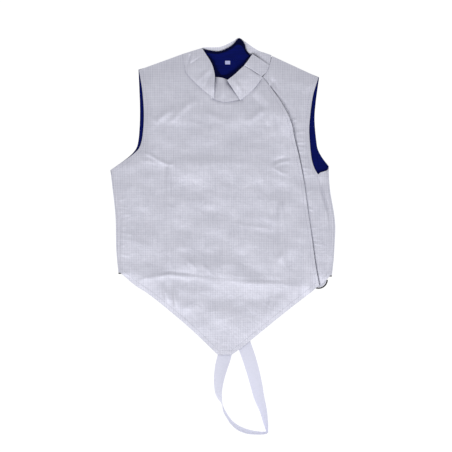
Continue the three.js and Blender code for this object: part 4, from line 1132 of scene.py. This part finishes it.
TAPE_DROP = 1.8      # the tape's middle, below the back's hem
hem_tape_line = [(p[0], p[1] - TAPE_DROP, 0.9) for p in back_hem]
left_tape, right_tape = (
    [(p[0], p[1] - TAPE_DROP, p[2])
     for p in turned_edge(*line[0], sign, *turn_at(table, line[0][1], curl), 0.8)]
    for line, sign, table, curl in ((back_left, -1, LEFT_SIDE, LEFT_CURL),
                                    (back_right, 1, RIGHT_OUTLINE, RIGHT_CURL)))
tube("hem_tape", left_tape[::-1] + hem_tape_line + right_tape, HEM_TAPE,
     "back_hem_binding", BINDING)

# %% [markdown]
# ## Stitching
#
# A domestic or factory lockstitch shows as a row of short rounded dashes that dip into the
# cloth at each end. They are built as small capsules along the hems, so they are there from
# close up, though at the photograph's scale they only soften the edges.

# %% Stitches
STITCH_PITCH, STITCH_LENGTH, STITCH_RADIUS = 4.0, 2.8, 0.3


def stitches(name, line, height, inset):
    """A row of stitches on a cloth, inset from a line; inset is positive on the line's left."""
    line = np.asarray(line, float)[:, :2]
    tangent = unit(np.gradient(line, axis=0))
    line = line + inset * np.stack([-tangent[:, 1], tangent[:, 0]], 1)
    length = distances(line)
    starts = np.arange(STITCH_PITCH, length[-1] - STITCH_PITCH, STITCH_PITCH)
    along = starts[:, None] + STITCH_LENGTH * np.array([0, 0.15, 0.85, 1.0])[None]
    x, y = (np.interp(along, length, line[:, k]) for k in (0, 1))
    ahead = unit(np.stack([x[:, -1] - x[:, 0], y[:, -1] - y[:, 0]], 1))
    turns = np.linspace(0, 2 * math.pi, 6, endpoint=False)
    girth = STITCH_RADIUS * np.array([0.35, 1, 1, 0.35])[None, :, None]
    z = height(x, y) + np.array([-0.15, 0.05, 0.05, -0.15])[None]
    points = np.stack([x[..., None] - ahead[:, 1, None, None] * girth * np.cos(turns),
                       y[..., None] + ahead[:, 0, None, None] * girth * np.cos(turns),
                       z[..., None] + girth * np.sin(turns)], -1)
    rings, sides = points.shape[1:3]
    faces = [face for s in range(len(starts)) for face in ring_faces(rings, sides, s * rings * sides)]
    print(f"{name}: {len(starts)} stitches")
    return placed(name, new_mesh(name, points, faces, THREAD), None)


stitches("hem_stitches", hem_line, main_height, inset=8.5)
stitches("placket_stitches", placket_line[:-1], main_height, inset=6.5)
stitches("left_armhole_stitches", armhole_left, main_height, inset=-8.0)
stitches("right_armhole_stitches", armhole_right, side_height, inset=8.0)
stitches("side_hem_stitches", side_hem[8:], side_height, inset=7.0)
